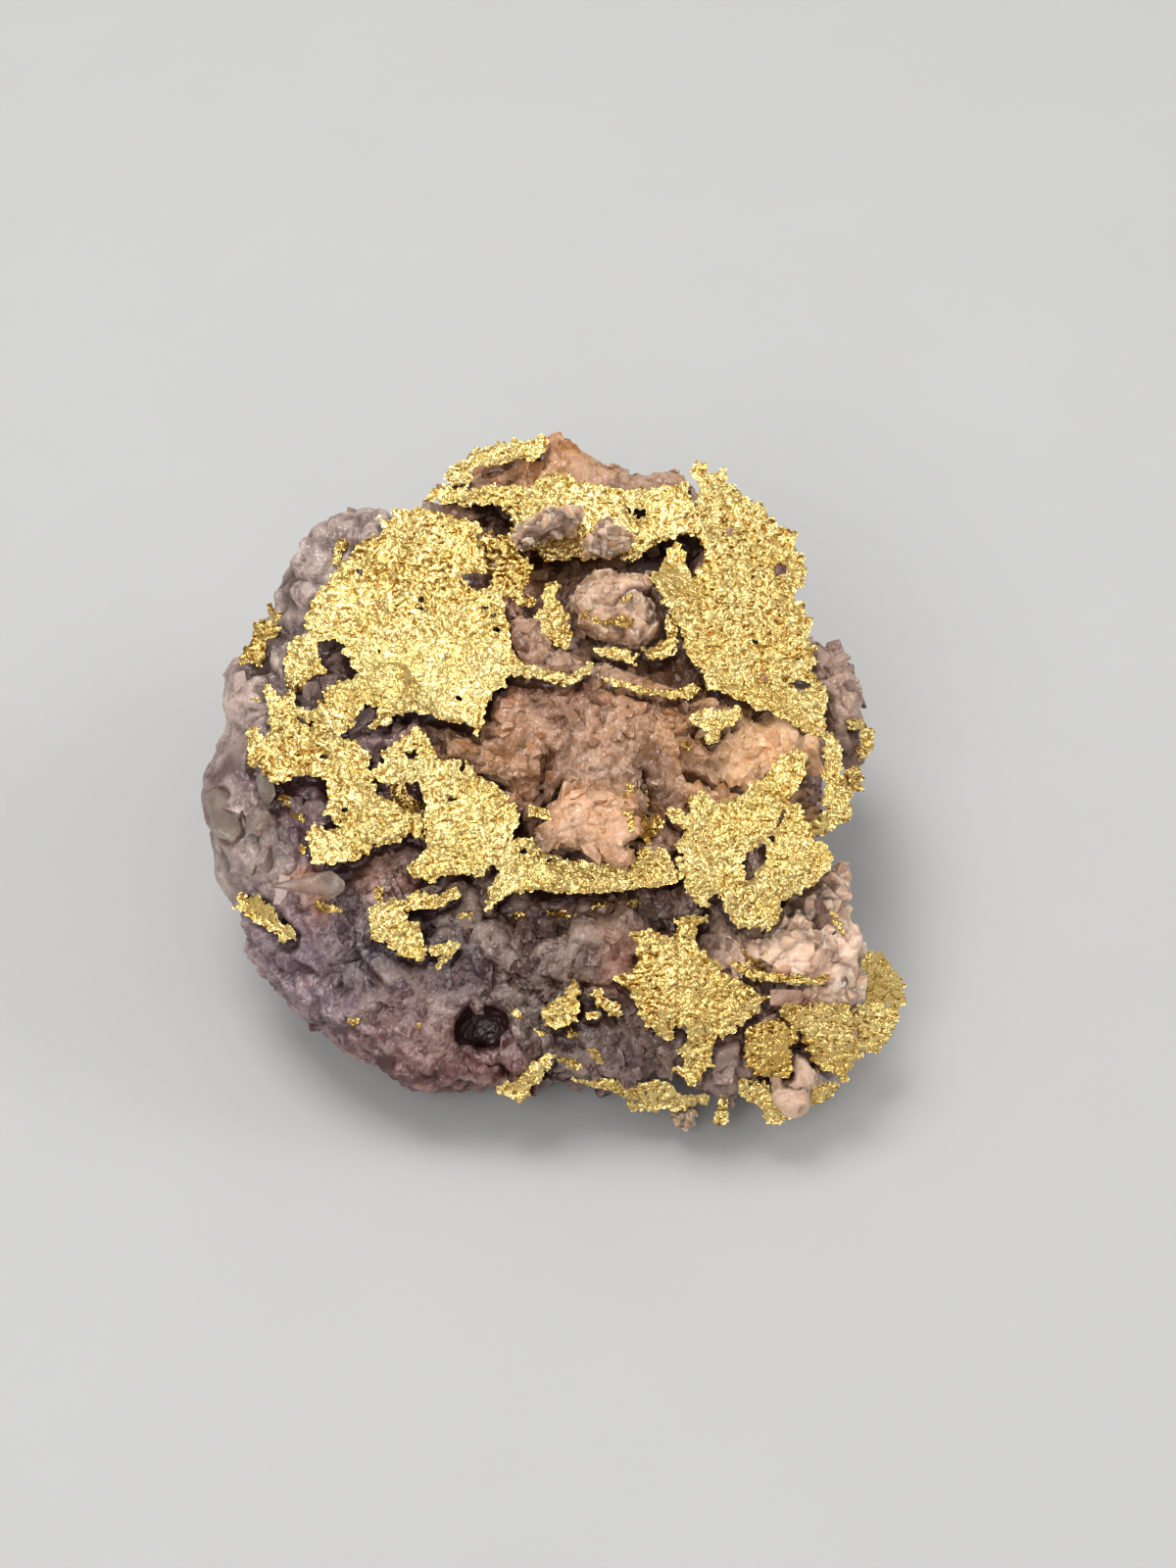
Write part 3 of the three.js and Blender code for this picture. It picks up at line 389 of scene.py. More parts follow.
def rgb(red, green, blue):
    """A linear colour from the values of 0 to 255 that a screen shows."""
    linear = [((c / 255 + 0.055) / 1.055) ** 2.4 if c > 10 else c / 255 / 12.92 for c in (red, green, blue)]
    return (*linear, 1.0)


# Finishes

# Millimetres across the grains of the two kinds of quartz
GRAIN = 0.34
PALE_GRAIN = 0.4
QUARTZ_IOR = 1.54
# Stains and changes of the quartz, and painted light and shade on it: a pixel of the picture's frame, a
# radius in millimetres, how strong from 0 to 1, and which colour. Later ones lie over earlier ones.
STAINS_AND_PAINTED_LIGHT = [
    # Darker purple-brown below the front band: partly the quartz's own colour, partly painted shade under
    # the band
    ((560, 950), 5.0, 0.95, (58, 32, 27)),
    ((760, 1040), 3.0, 0.8, (104, 76, 64)),
    ((640, 770), 5.0, 1.0, (130, 87, 51)),
    ((560, 735), 1.3, 0.7, (134, 80, 44)),
    ((650, 720), 1.2, 0.6, (186, 132, 84)),
    ((720, 770), 1.4, 0.7, (190, 132, 78)),
    ((800, 770), 2.2, 0.95, (226, 174, 120)),
    ((610, 780), 1.1, 0.6, (184, 138, 100)),
    ((500, 770), 1.6, 0.8, (172, 120, 74)),
    ((520, 650), 1.8, 0.9, (158, 110, 80)),
    ((600, 640), 1.7, 0.8, (188, 152, 124)),
    ((560, 560), 2.2, 0.8, (182, 142, 112)),
    ((540, 480), 3.4, 1.0, (182, 122, 60)),
    ((700, 490), 2.4, 1.0, (162, 122, 92)),
    ((500, 528), 1.0, 0.8, (92, 58, 44)),
    # The front lump, pinkish and paler: partly its own colour, partly painted light on its front face
    ((610, 850), 1.4, 0.95, (214, 160, 116)),
    ((310, 560), 3.8, 1.0, (160, 140, 132)),
    ((250, 720), 1.8, 0.9, (190, 166, 156)),
    ((230, 850), 1.3, 0.7, (180, 160, 150)),
    ((850, 700), 2.2, 0.9, (178, 144, 122)),
    # The quartz by the right-hand lump, pinkish and paler: partly its own colour, partly painted light from
    # the right
    ((840, 960), 2.8, 0.9, (226, 186, 158)),
    ((800, 1050), 1.4, 0.7, (190, 134, 114)),
    ((300, 920), 1.0, 0.8, (184, 118, 78)),
    ((400, 890), 1.0, 0.6, (160, 102, 72)),
    ((650, 985), 1.1, 0.8, (164, 108, 86)),
    ((400, 1005), 2.2, 0.9, (66, 54, 68)),
    ((250, 900), 1.6, 0.8, (168, 150, 142)),
    ((275, 960), 1.5, 0.7, (136, 112, 128)),
    ((420, 1090), 2.4, 0.7, (118, 74, 74)),
    ((760, 1060), 1.2, 0.6, (110, 78, 72)),
    # These two: painted shade just under the lower edge of the gold band
    ((560, 915), 1.6, 0.55, (84, 60, 64)),
    ((690, 920), 1.3, 0.5, (84, 60, 64)),
    ((430, 860), 1.1, 0.5, (84, 60, 62)),
    ((310, 1010), 1.4, 0.6, (132, 112, 126)),
    ((470, 1110), 1.8, 0.6, (124, 74, 72)),
    # The pit's dark middle: painted shade
    ((492, 1050), 0.75, 0.95, (52, 42, 52)),
    ((480, 1068), 0.5, 0.8, (86, 50, 48)),
    ((290, 760), 1.0, 0.7, (72, 50, 50)),
    ((340, 670), 1.2, 0.6, (112, 76, 64)),
]


def stains_and_painted_light(points):
    """The colour that the stains and the painted light and shade give each point of the quartz, with
    ragged, soft rims, and how strong it is from 0 to 1."""
    wander = 0.2 * noise(points, 1.3, 71) + 0.13 * noise(points, 0.65, 72) + 0.08 * noise(points, 0.3, 73)
    colour = np.zeros((len(points), 3))
    cover = np.zeros(len(points))
    for (px, py), radius, strength, stain_and_painted_light in STAINS_AND_PAINTED_LIGHT:
        away = np.linalg.norm(points - place_on_stone(px, py), axis=1) + 1.2 * radius * wander
        share = strength * (1 - smoothstep(0.65 * radius, 1.3 * radius, away))
        colour = colour * (1 - share)[:, None] + np.outer(share, rgb(*stain_and_painted_light)[:3])
        cover = 1 - (1 - cover) * (1 - share)
    return np.column_stack([colour / np.maximum(cover, 1e-6)[:, None], cover])


def sugary(g, colour, size, white):
    """The colour and normal of grown-together, see-through grains of about that size: paler and darker
    grains, white rims, dark pits, and glints. The palest grains are that near to white."""
    pale = g.mix(white, colour, rgb(252, 226, 208))
    deep = g.mix(0.75, colour, rgb(58, 30, 24))
    shade, away, rim = g.grains(size, 0.8 * size)
    small_shade, small_away, _ = g.grains(size * 0.45, 0.4 * size)
    colour = g.mix(g.step(shade, 0.55, 1.0) * 0.45, colour, pale)
    colour = g.mix((1 - g.step(shade, 0.0, 0.45)) * 0.45, colour, deep)
    colour = g.mix(g.step(small_shade, 0.6, 1.0) * 0.4, colour, pale)
    colour = g.mix(g.step(g.noise(size * 2.4, 4, 0.6, 0.8), 0.5, 0.7) * 0.7, colour, deep)
    colour = g.mix(g.step(g.noise(size * 1.6, 4, 0.65, 1.0), 0.54, 0.66) * 0.65, colour, pale)
    frost = (1 - g.step(rim, 0.0, 0.14)) * g.step(g.noise(size * 2.5, 3), 0.42, 0.6)
    colour = g.mix(frost * 0.7, colour, pale)
    flake = g.noise(size * 1.6, 2, 0.5, 1.5) - 0.5
    edge = (1 - g.step(flake * flake, 0.0, 0.0012)) * g.step(g.noise(size * 3, 2), 0.45, 0.6)
    colour = g.mix(edge * 0.7, colour, pale)
    # The vertex tone: painted shade and painted highlight on the stone, with its dark joints and random
    # shade, and a random shade for each grain
    tone = g.attribute("tone")
    colour = g.mix(g.step(tone, 0.0, 0.9), colour, deep)
    colour = g.mix(g.step(0 - tone, 0.0, 1.1) * 0.9, colour, pale)
    height = shade + small_shade * 0.6 - away * 1.6 - small_away * 0.8 + g.noise(0.09, 3, 0.6) * 0.43
    return colour, g.bump(height, 0.035)


def quartz_finish(g):
    """Purple-grey quartz, brown in the middle and lilac at the upper left, with stains, painted light and
    shade, and grains.
    """
    colour = g.mix(g.step(g.noise(2.0, 3), 0.35, 0.65), rgb(86, 57, 68), rgb(118, 84, 88))
    # The stains, and the painted shade and painted light, that each vertex holds
    colour = g.mix(g.attribute("stain_and_painted_light", "Alpha"), colour, g.attribute("stain_and_painted_light", "Color"))
    colour = g.mix(g.step(g.noise(1.5, 4, 0.7), 0.58, 0.74) * 0.4, colour, rgb(170, 108, 72))
    colour, normal = sugary(g, colour, GRAIN, 0.29)
    roughness = g.step(g.noise(0.25, 3), 0.3, 0.7) * 0.45
    g.surface(base_color=colour, roughness=roughness, normal=normal, ior=QUARTZ_IOR)


def pale_quartz_finish(g):
    """Pinkish, slightly clearer quartz of the knob, the blobs and the right-hand lump."""
    wander = g.noise(1.0, 4, 0.65)
    colour = g.mix(g.step(wander, 0.35, 0.65), rgb(214, 174, 138), rgb(186, 142, 110))
    # Paler about the right-hand lump: partly its own pinker colour, partly painted light on the side lit
    # from the right
    lump_colour_and_light = g.near(place_on_stone(830, 960), 2.2, wander)
    colour = g.mix(lump_colour_and_light * 0.9, colour, rgb(240, 198, 168))
    colour, normal = sugary(g, colour, PALE_GRAIN, 0.45)
    g.surface(
        base_color=colour, roughness=0.22 + g.noise(0.4, 3) * 0.3, normal=normal, ior=QUARTZ_IOR,
        subsurface_weight=0.7, subsurface_radius=(1.0, 0.72, 0.6), subsurface_scale=0.35 * MM,
    )


def clear_quartz_finish(g):
    """Glassy grey quartz, seen through."""
    tint = g.mix(g.step(g.noise(0.4, 4), 0.4, 0.65), rgb(244, 228, 212), rgb(204, 180, 164))
    normal = g.bump(g.noise(0.25, 5, 0.7), 0.06)
    g.surface(base_color=tint, roughness=0.08, normal=normal, ior=QUARTZ_IOR, transmission_weight=0.9)


def gold_finish(g):
    """Crumpled native gold, pale lemon, with painted shade in amber and dark brown in its folds, grooves
    and hollows and on shaded leaves.
    """
    colour = g.mix(g.step(g.noise(0.9, 3), 0.35, 0.7), rgb(243, 217, 145), rgb(236, 203, 122))
    tone = g.attribute("tone")
    line = g.noise(0.18, 2, 0.5, 0.8) - 0.5
    crease = (1 - g.step(line * line, 0.0001, 0.001)) * g.step(g.noise(0.3, 2), 0.38, 0.55)
    # Painted shade: amber and dark brown where the tone is high, in folds, grooves and hollows and on
    # shaded leaves
    colour = g.mix(g.step(tone, 0.0, 0.7) * 0.8, colour, rgb(196, 148, 62))
    colour = g.mix(g.step(tone, 0.6, 1.2), colour, rgb(84, 60, 24))
    # Painted shade in the fine creases
    colour = g.mix(crease * 0.55, colour, rgb(136, 98, 40))
    normal = g.bump(g.noise(0.15, 2, 0.55, 0.8) - crease * 0.6, 0.06)
    g.surface(base_color=colour, metallic=1.0, roughness=0.14 + g.noise(0.2, 3) * 0.2, normal=normal)


def floor_finish(g):
    """A plain, pale, matt board."""
    colour = g.mix(g.noise(6.0, 4), rgb(180, 180, 178), rgb(176, 176, 174))
    g.surface(base_color=colour, roughness=0.75, normal=g.bump(g.noise(0.25, 4), 0.01))


MATERIALS = {
    "quartz": material("quartz", quartz_finish),
    "quartz_pale": material("quartz_pale", pale_quartz_finish),
    "quartz_clear": material("quartz_clear", clear_quartz_finish),
    "gold": material("gold", gold_finish),
    "floor": material("floor", floor_finish),
}

# Gold leaves
#
# Each leaf is cut from one grid over the picture, so that leaves and quartz can be compared point by
# point. The grid's cells are small enough to hold the crumples and the ragged rim as real shape.

# Lengths over the picture are in pixels, and depths and heights in millimetres
CELL = 1.2
COLUMNS = int(PICTURE_SIZE[0] / CELL)
ROWS = int(PICTURE_SIZE[1] / CELL)
LEAF_THICKNESS = 0.09
SMALLEST_SCRAP = 24  # cells
LARGE_LEAF = 45  # least width of a leaf whose rim wanders in full
MARGIN = 8  # cells around a leaf
FACES_VIEWER = 0.35
EVENED = 14  # times a leaf's depths are averaged
HOLLOW_DEPTH = 0.06
CURL = 0.1

# How much painted shade darkens some leaves, which lie in shade, from 0 to 1
SHADED_LEAVES = {
    "leaf_disc": 0.4, "leaf_left_edge": 0.35, "leaf_fringe": 0.3, "leaf_far_right_lower": 0.25,
    "leaf_corner": 0.15, "leaf_spot": 0.2, "leaf_seam_lower": 0.3, "leaf_seam_upper": 0.2,
    "leaf_lower_right": 0.15,
}
# How much of some leaves is eaten away by pores, from 0 to 1
LACY_LEAVES = {
    "leaf_knob_left": 0.5, "leaf_knob_right": 0.4, "leaf_patch": 0.35, "leaf_seam_upper": 0.3,
    "leaf_seam_lower": 0.2, "leaf_fringe": 0.4, "leaf_loop": 0.2, "leaf_ridge_edge": 0.15,
    "leaf_corner_bottom": 0.2, "leaf_bottom": 0.25, "leaf_star": 0.2, "leaf_right_edge": 0.1,
}
NEAT_LEAVES = ["leaf_stick"]
# Ovals of the picture where the gold is crumpled more or less than elsewhere, and small round holes
HEAVY_CRUMPLES = [(450, 575, 110, 60), (780, 590, 100, 150), (300, 790, 60, 50), (640, 1010, 50, 60)]
SMOOTH_GOLD = [(430, 690, 110, 45), (560, 895, 90, 14)]
PINHOLES = [
    (367, 584), (430, 612), (429, 620), (467, 712), (495, 620), (505, 628), (507, 643), (460, 815),
    (535, 868), (560, 878), (622, 628), (770, 655), (330, 772), (352, 826),
]

# The lowest gold over each grid point, for the quartz to stay under
gold_back = np.full((ROWS, COLUMNS), np.inf)


def front_of(points, faces):
    """The faces that look towards the viewer, and their outlines as closed loops of points."""
    front = []
    for face in faces:
        a, b, c = (points[i] for i in face[:3])
        normal = np.cross(b - a, c - a)
        length = np.linalg.norm(normal)
        if length > 0 and normal @ TOWARDS / length > FACES_VIEWER:
            front.append(face)
    edges = {}
    for face in front:
        for a, b in zip(face, face[1:] + face[:1]):
            edges[a, b] = True
    following = {a: b for a, b in edges if (b, a) not in edges}
    loops = []
    while following:
        start, at = following.popitem()
        loop = [start]
        while at != start and at in following:
            loop.append(at)
            at = following.pop(at)
        loops.append(loop)
    return front, loops


def distance_inside(px, py, loops):
    """How far each pixel lies inside the loops, in pixels; negative outside."""
    nearest = np.full(px.shape, np.inf)
    inside = np.zeros(px.shape, bool)
    for loop in loops:
        for (ax, ay), (bx, by) in zip(loop, np.roll(loop, -1, axis=0)):
            nearest = np.minimum(nearest, from_segment(px, py, (ax, ay), (bx, by)))
            if ay != by:
                crosses = (ay > py) != (by > py)
                inside ^= crosses & (px < ax + (py - ay) / (by - ay) * (bx - ax))
    return np.sqrt(nearest) * np.where(inside, 1, -1)


def neighbours(values):
    """The values one cell away on each side."""
    return [np.roll(values, step, axis) for axis in (0, 1) for step in (1, -1)]


def blurred(values, known, times):
    """values averaged with their neighbours, counting only the known ones."""
    total = np.where(known, values, 0.0)
    count = known.astype(float)
    for _ in range(times):
        total = (total + sum(neighbours(total))) / 5
        count = (count + sum(neighbours(count))) / 5
    return total / np.maximum(count, 1e-9)


def without_scraps(kept):
    """The kept cells without the groups that are too small to hold on, and without cells that meet only
    at a corner."""
    for over in (1, -1):
        corner = kept[:-1, :-1] & kept[1:, 1:] & ~kept[:-1, 1:] & ~kept[1:, :-1]
        if over < 0:
            corner = kept[:-1, 1:] & kept[1:, :-1] & ~kept[:-1, :-1] & ~kept[1:, 1:]
            kept[:-1, :-1] |= corner
        else:
            kept[:-1, 1:] |= corner
    group = np.zeros(kept.shape, int)
    sizes = [0]
    for start in zip(*np.nonzero(kept)):
        if group[start]:
            continue
        sizes.append(0)
        stack = [start]
        group[start] = len(sizes) - 1
        while stack:
            row, column = stack.pop()
            sizes[-1] += 1
            for near in ((row + 1, column), (row - 1, column), (row, column + 1), (row, column - 1)):
                if kept[near] and not group[near]:
                    group[near] = len(sizes) - 1
                    stack.append(near)
    return kept & (np.array(sizes)[group] >= SMALLEST_SCRAP)


def crumples(px, py, seed):
    """Height in millimetres of the folds, wrinkles and grooves of a leaf, and how far in a groove each
    pixel is, from 0 to 1."""
    heavy = ovals(px, py, HEAVY_CRUMPLES)
    smooth = ovals(px, py, SMOOTH_GOLD)
    strength = 1 + 0.5 * heavy - 0.45 * smooth
    drift_x = px + 4 * waves(px, py, 11, seed + 1)
    drift_y = py + 4 * waves(px, py, 11, seed + 2)
    folds = 0.07 * waves(px, py, 44, seed + 3) + 0.035 * waves(px, py, 21, seed + 5)
    line = np.abs(waves(drift_x, drift_y, 6.4, seed + 7, 1.5))
    broken = smoothstep(-0.3, 0.2, waves(px, py, 7, seed + 9))
    groove = (1 - smoothstep(0.02, 0.22, line)) * broken
    domes = 0.03 * np.minimum(line, 0.5) + 0.018 * waves(drift_x, drift_y, 3.6, seed + 11, 1.5)
    ripples = 0.02 * waves(drift_x, drift_y, 9, seed + 13, 1.6)
    height = folds * (1 + heavy) + strength * (domes + ripples - 0.036 * groove)
    return height, groove * np.clip(strength, 0, 1)


def foil(loops, tree, seed, lift=0.0, darkening=0.0, lacy=0.0, neat=False):
    """A crumpled, ragged leaf over the inside of the loops, on the surface that the tree holds. Returns
    its points, faces and tones. The rim of a small leaf wanders less, and a neat one hardly at all."""
    corners = np.concatenate(loops)
    ragged = np.clip(corners.ptp(axis=0).min() / LARGE_LEAF, 0.35, 1)
    small_teeth = 0.3 if neat else 1
    left, top = np.floor(corners.min(axis=0) / CELL).astype(int) - MARGIN
    right, bottom = np.ceil(corners.max(axis=0) / CELL).astype(int) + MARGIN
    columns, rows = np.meshgrid(np.arange(left, right + 1), np.arange(top, bottom + 1))
    px = columns * CELL
    py = rows * CELL
    teeth = max(ragged, 0.7) * 3.4 * waves(px, py, 6.5, seed + 9) + 2.4 * waves(px, py, 3.6, seed)
    teeth = small_teeth * teeth + ragged * (1.8 + 3 * waves(px, py, 15, seed))
    pores = 0.95 - lacy - waves(px, py, 10, seed + 30) - 0.35 * waves(px, py, 5, seed + 33)
    field = np.minimum(distance_inside(px, py, loops) + teeth, pores * 14)
    for x, y in PINHOLES:
        reach = 3.2 + 2.6 * waves(px, py, 4.5, seed + 21) + 1.5 * waves(px, py, 9, seed + 22)
        field = np.minimum(field, np.hypot((px - x) * 0.9, (py - y) * 1.3) - reach)
    centre = (field[:-1, :-1] + field[1:, :-1] + field[:-1, 1:] + field[1:, 1:]) / 4
    kept = without_scraps(centre > 0)
    used = np.zeros(field.shape, bool)
    whole = np.ones(field.shape, bool)
    for down, over in itertools.product((0, 1), repeat=2):
        used[down:down + kept.shape[0], over:over + kept.shape[1]] |= kept
    whole[1:-1, 1:-1] = kept[:-1, :-1] & kept[1:, :-1] & kept[:-1, 1:] & kept[1:, 1:]
    rim = used & ~whole
    slope_y, slope_x = np.gradient(field, CELL)
    steep = np.maximum(slope_x ** 2 + slope_y ** 2, 0.3)
    shift = np.clip(-field / steep, -0.55 * CELL, 0.55 * CELL)
    px = px + np.where(rim, shift * slope_x, 0)
    py = py + np.where(rim, shift * slope_y, 0)

    depth = np.full(field.shape, np.nan)
    depth[used] = depth_of_surface(tree, px[used], py[used])
    depth = blurred(depth, ~np.isnan(depth), EVENED)
    height, groove = crumples(px, py, seed)
    curl = (1 - smoothstep(0, 9, field)) * waves(px, py, 30, seed + 12) * CURL
    front = depth + height - curl + lift
    back = front - LEAF_THICKNESS * (1 + 0.3 * waves(px, py, 25, seed + 15))
    hollow = np.clip((blurred(height, used, 8) - height) / HOLLOW_DEPTH, 0, 1)
    # Painted shade: darker on the shaded leaves, and in the grooves and the hollows of the crumples
    tone = darkening + 0.55 * groove + 0.4 * hollow

    where = np.full(field.shape, -1)
    where[used] = np.arange(used.sum())
    count = int(used.sum())
    points = np.concatenate([
        to_world(px[used], py[used], front[used]),
        to_world(px[used], py[used], back[used]),
    ])
    corner_of = [where[:-1, :-1], where[1:, :-1], where[1:, 1:], where[:-1, 1:]]
    quads = np.column_stack([corner[kept] for corner in corner_of])
    faces = [quads, quads[:, ::-1] + count]
    held = np.pad(kept, 1)
    beyond = [held[1:-1, :-2], held[2:, 1:-1], held[1:-1, 2:], held[:-2, 1:-1]]
    for number, outside in enumerate(beyond):
        open_side = kept & ~outside
        a = corner_of[number][open_side]
        b = corner_of[(number + 1) % 4][open_side]
        faces.append(np.column_stack([a, a + count, b + count, b]))

    row_of, column_of = rows[used], columns[used]
    gold_back[row_of, column_of] = np.minimum(gold_back[row_of, column_of], back[used])
    return points, np.concatenate(faces).tolist(), np.tile(tone[used], 2)


def leaf(node, seed):
    """The foil of one gold node."""
    points, faces = node_arrays(node)
    front, loops = front_of(points, faces)
    px, py, _ = to_picture(points)
    pictured = [np.column_stack([px[loop], py[loop]]) for loop in loops]
    tree = tree_of(points, front)
    darkening, lacy = SHADED_LEAVES.get(node, 0.0), LACY_LEAVES.get(node, 0.0)
    shape = foil(pictured, tree, seed, 0.0, darkening, lacy, node in NEAT_LEAVES)
    make_part(node + "_foil", *shape[:2], "gold", shape[2], node)


for number, node in enumerate(GOLD_NODES):
    leaf(node, LEAF_SEED + 50 * number)

# Quartz

# Cracks and steps in the quartz, painted darker as painted shade: a line in the picture, its half width in
# pixels and depth in millimetres
CREVICES = [
    ((560, 770), (548, 835), 9, 0.7),
    ((520, 830), (556, 838), 9, 0.6),
    ((795, 925), (850, 950), 5, 0.35),
    ((640, 905), (760, 905), 8, 0.5),
    ((500, 915), (640, 912), 8, 0.45),
    ((330, 800), (352, 835), 10, 0.4),
    ((395, 728), (500, 742), 12, 0.45),
    ((545, 575), (700, 560), 10, 0.5),
    ((700, 660), (735, 648), 7, 0.4),
    ((690, 610), (712, 650), 5, 0.5),
    ((560, 1000), (620, 1010), 5, 0.25),
    ((325, 690), (360, 705), 9, 0.3),
    ((640, 870), (664, 852), 10, 0.5),
    ((420, 690), (470, 706), 9, 0.5),
    ((700, 792), (760, 806), 7, 0.35),
    ((655, 790), (668, 838), 6, 0.4),
    ((350, 640), (300, 700), 5, 0.2),
]
# Ridges and edges that stand out, in the same way, painted paler as painted highlight
RIDGES = [
    ((462, 758), (505, 782), 9, -0.22),
    ((505, 782), (548, 788), 9, -0.25),
    ((548, 788), (572, 762), 8, -0.2),
    ((742, 706), (828, 760), 7, -0.22),
    ((583, 745), (600, 700), 8, -0.15),
    ((655, 760), (672, 800), 8, -0.18),
    ((672, 800), (720, 806), 7, -0.12),
    ((475, 668), (560, 690), 6, -0.12),
    ((590, 800), (560, 832), 6, -0.15),
    ((640, 812), (650, 872), 6, -0.15),
    ((478, 1022), (518, 1030), 6, -0.14),
    ((268, 970), (304, 1018), 5, -0.08),
    ((304, 1018), (360, 1064), 5, -0.09),
    ((360, 1064), (424, 1098), 5, -0.08),
    ((272, 944), (306, 985), 5, -0.09),
    ((318, 1008), (372, 1052), 6, -0.1),
    ((372, 985), (400, 1000), 6, -0.15),
    ((380, 1044), (440, 1086), 5, -0.1),
    ((800, 935), (850, 948), 6, -0.12),
    ((858, 960), (872, 1005), 6, -0.12),
]
# Where the quartz is smooth and glassy, grew in long scales, is less broken or is brown: ovals of the
# picture
GLASSY = [(225, 760, 45, 90), (215, 850, 40, 70), (235, 910, 50, 50)]
SCALY = [(300, 560, 110, 170)]
RIM_SCALES = [(270, 990, 75, 90), (340, 1075, 110, 55), (450, 1120, 90, 35)]
CALM = [(640, 770, 230, 120), (480, 765, 90, 60), (610, 850, 70, 50), (620, 480, 170, 50)]
BROWN = [(640, 790, 240, 150), (480, 760, 110, 80), (560, 640, 120, 110)]
PIT = [(491, 1052, 34, 33)]
PIT_DEPTH = 0.45
SCALE_SLOPE = 0.8 * ACROSS - 0.6 * UP
# Millimetres: the size of the stone's faces, how near under a leaf the stone stays, how far behind a leaf
# stone still counts as under it, how near to a crack's middle depth the crack reaches, and the gaps
# under a leaf that the stone fills in full and not at all
STONE_CELL = {"quartz": 0.107, "quartz_pale": 0.06}
GOLD_GAP = 0.03
GOLD_OVERLAP = 0.12
GOLD_REACH = 2.5
CRACK_REACH = 2.0
SEAT_REACH = (0.6, 1.0)
STONE_ROUGHNESS = {"quartz": 1.0, "quartz_pale": 0.85}
CRYSTAL_CUTS = 6
WORN_EDGE = 0.03
RIM_SHADE = 6  # cells
LAYERED = (0.8, 0.8, 2.4)


def lowest_near(values, times):
    """The lowest value within that many cells of each."""
    for _ in range(times):
        values = np.minimum(values, np.minimum.reduce(neighbours(values)))
    return values


gold_floor = lowest_near(gold_back, 2)
gold_shade = blurred(np.where(np.isfinite(gold_back), 1.0, 0.0), np.ones(gold_back.shape, bool), 14)
gold_seat = smoothstep(0.6, 0.9, gold_shade)
# Shifted down, to where shade falls below the gold's lower rims: the stone is sunk there and painted with
# shade
gold_shade = np.roll(gold_shade, RIM_SHADE, axis=0)
gold_near = lowest_near(gold_back, 2 * RIM_SHADE)


def on_grid(values, px, py):
    """What the grid of the leaves holds at each pixel."""
    column = np.clip(np.round(px / CELL).astype(int), 0, COLUMNS - 1)
    row = np.clip(np.round(py / CELL).astype(int), 0, ROWS - 1)
    return values[row, column]


def under_gold(points, base, seats=0.0):
    """Keeps what was under a leaf under it, and lifts what seats it, if it is near, up to its back."""
    px, py, depth = to_picture(points)
    back = on_grid(gold_floor, px, py)
    _, _, base_depth = to_picture(base)
    covered = np.isfinite(back) & (base_depth < back + GOLD_OVERLAP) & (base_depth > back - GOLD_REACH)
    gap = np.where(covered, back - GOLD_GAP - depth, 0)
    lift = on_grid(gold_seat, px, py) * (1 - smoothstep(*SEAT_REACH, gap)) * seats
    return to_world(px, py, depth + np.where(gap > 0, gap * lift, gap))


def hollows(points):
    """How deep the cracks are at each point of the bare stone, and how dark, from 0 to 1: painted shade in
    the cracks and below the lower rims of the gold; below 0 on a ridge, which is painted highlight."""
    px, py, depth = to_picture(points)
    deep = np.zeros(len(points))
    dark = np.zeros(len(points))
    for start, end, half_width, drop in CREVICES + RIDGES:
        middle = place_on_stone((start[0] + end[0]) / 2, (start[1] + end[1]) / 2)
        close = np.abs(depth - to_picture(middle[None])[2]) < CRACK_REACH
        wander = 3 * noise(points, 0.5, 61)
        away = np.sqrt(from_segment(px, py, start, end)) + wander
        inside = 1 - smoothstep(0.3, 1.1, away / half_width)
        deep += drop * inside * close
        dark += np.sign(drop) * inside * close
    dark = np.clip(dark, -0.5, 1)
    gold = on_grid(gold_near, px, py)
    below = np.isfinite(gold) & (depth < gold + 0.05) & (depth > gold - 1.5)
    shade = on_grid(gold_shade, px, py) * below
    return deep + 0.25 * smoothstep(0.1, 0.6, shade), np.maximum(dark, smoothstep(0.15, 0.7, shade))


def remeshed(points, faces, size, smoothing):
    """The same solid in even small faces, smoothed."""
    mesh = bpy.data.meshes.new("blank")
    mesh.from_pydata(points.tolist(), [], faces)
    blank = bpy.data.objects.new("blank", mesh)
    bpy.context.scene.collection.objects.link(blank)
    remesh = blank.modifiers.new("even", "REMESH")
    remesh.mode = "VOXEL"
    remesh.voxel_size = size
    smooth = blank.modifiers.new("smooth", "SMOOTH")
    smooth.factor = 0.5
    smooth.iterations = smoothing
    result = blank.evaluated_get(bpy.context.evaluated_depsgraph_get()).to_mesh()
    points, faces = mesh_arrays(result)
    normals = np.empty(len(result.vertices) * 3)
    result.vertices.foreach_get("normal", normals)
    blank.to_mesh_clear()
    bpy.data.objects.remove(blank)
    return points, faces, normals.reshape(-1, 3)


def broken(points, size, seed):
    """A surface broken into tilted faces of that size: its height from about -1 to 1, and the gap from
    each point to the next face."""
    warped = points + 0.3 * size * np.column_stack([noise(points, size, seed + k) for k in (1, 2, 3)])
    gap, offset, number = cells(warped, size, seed)
    tilt = DIRECTIONS[number % len(DIRECTIONS)]
    return (offset * tilt).sum(axis=1) + (number % 97) / 97 - 0.5, gap


def pebbled(points, size, seed):
    """A surface of rounded grains of that size: its height from 0 in the joints to about 1."""
    warped = points + 0.4 * size * np.column_stack([noise(points, size, seed + k) for k in (1, 2, 3)])
    gap, _, number = cells(warped, size, seed)
    return smoothstep(-0.1, 0.55, gap) * (0.5 + 0.5 * (number % 89) / 89)


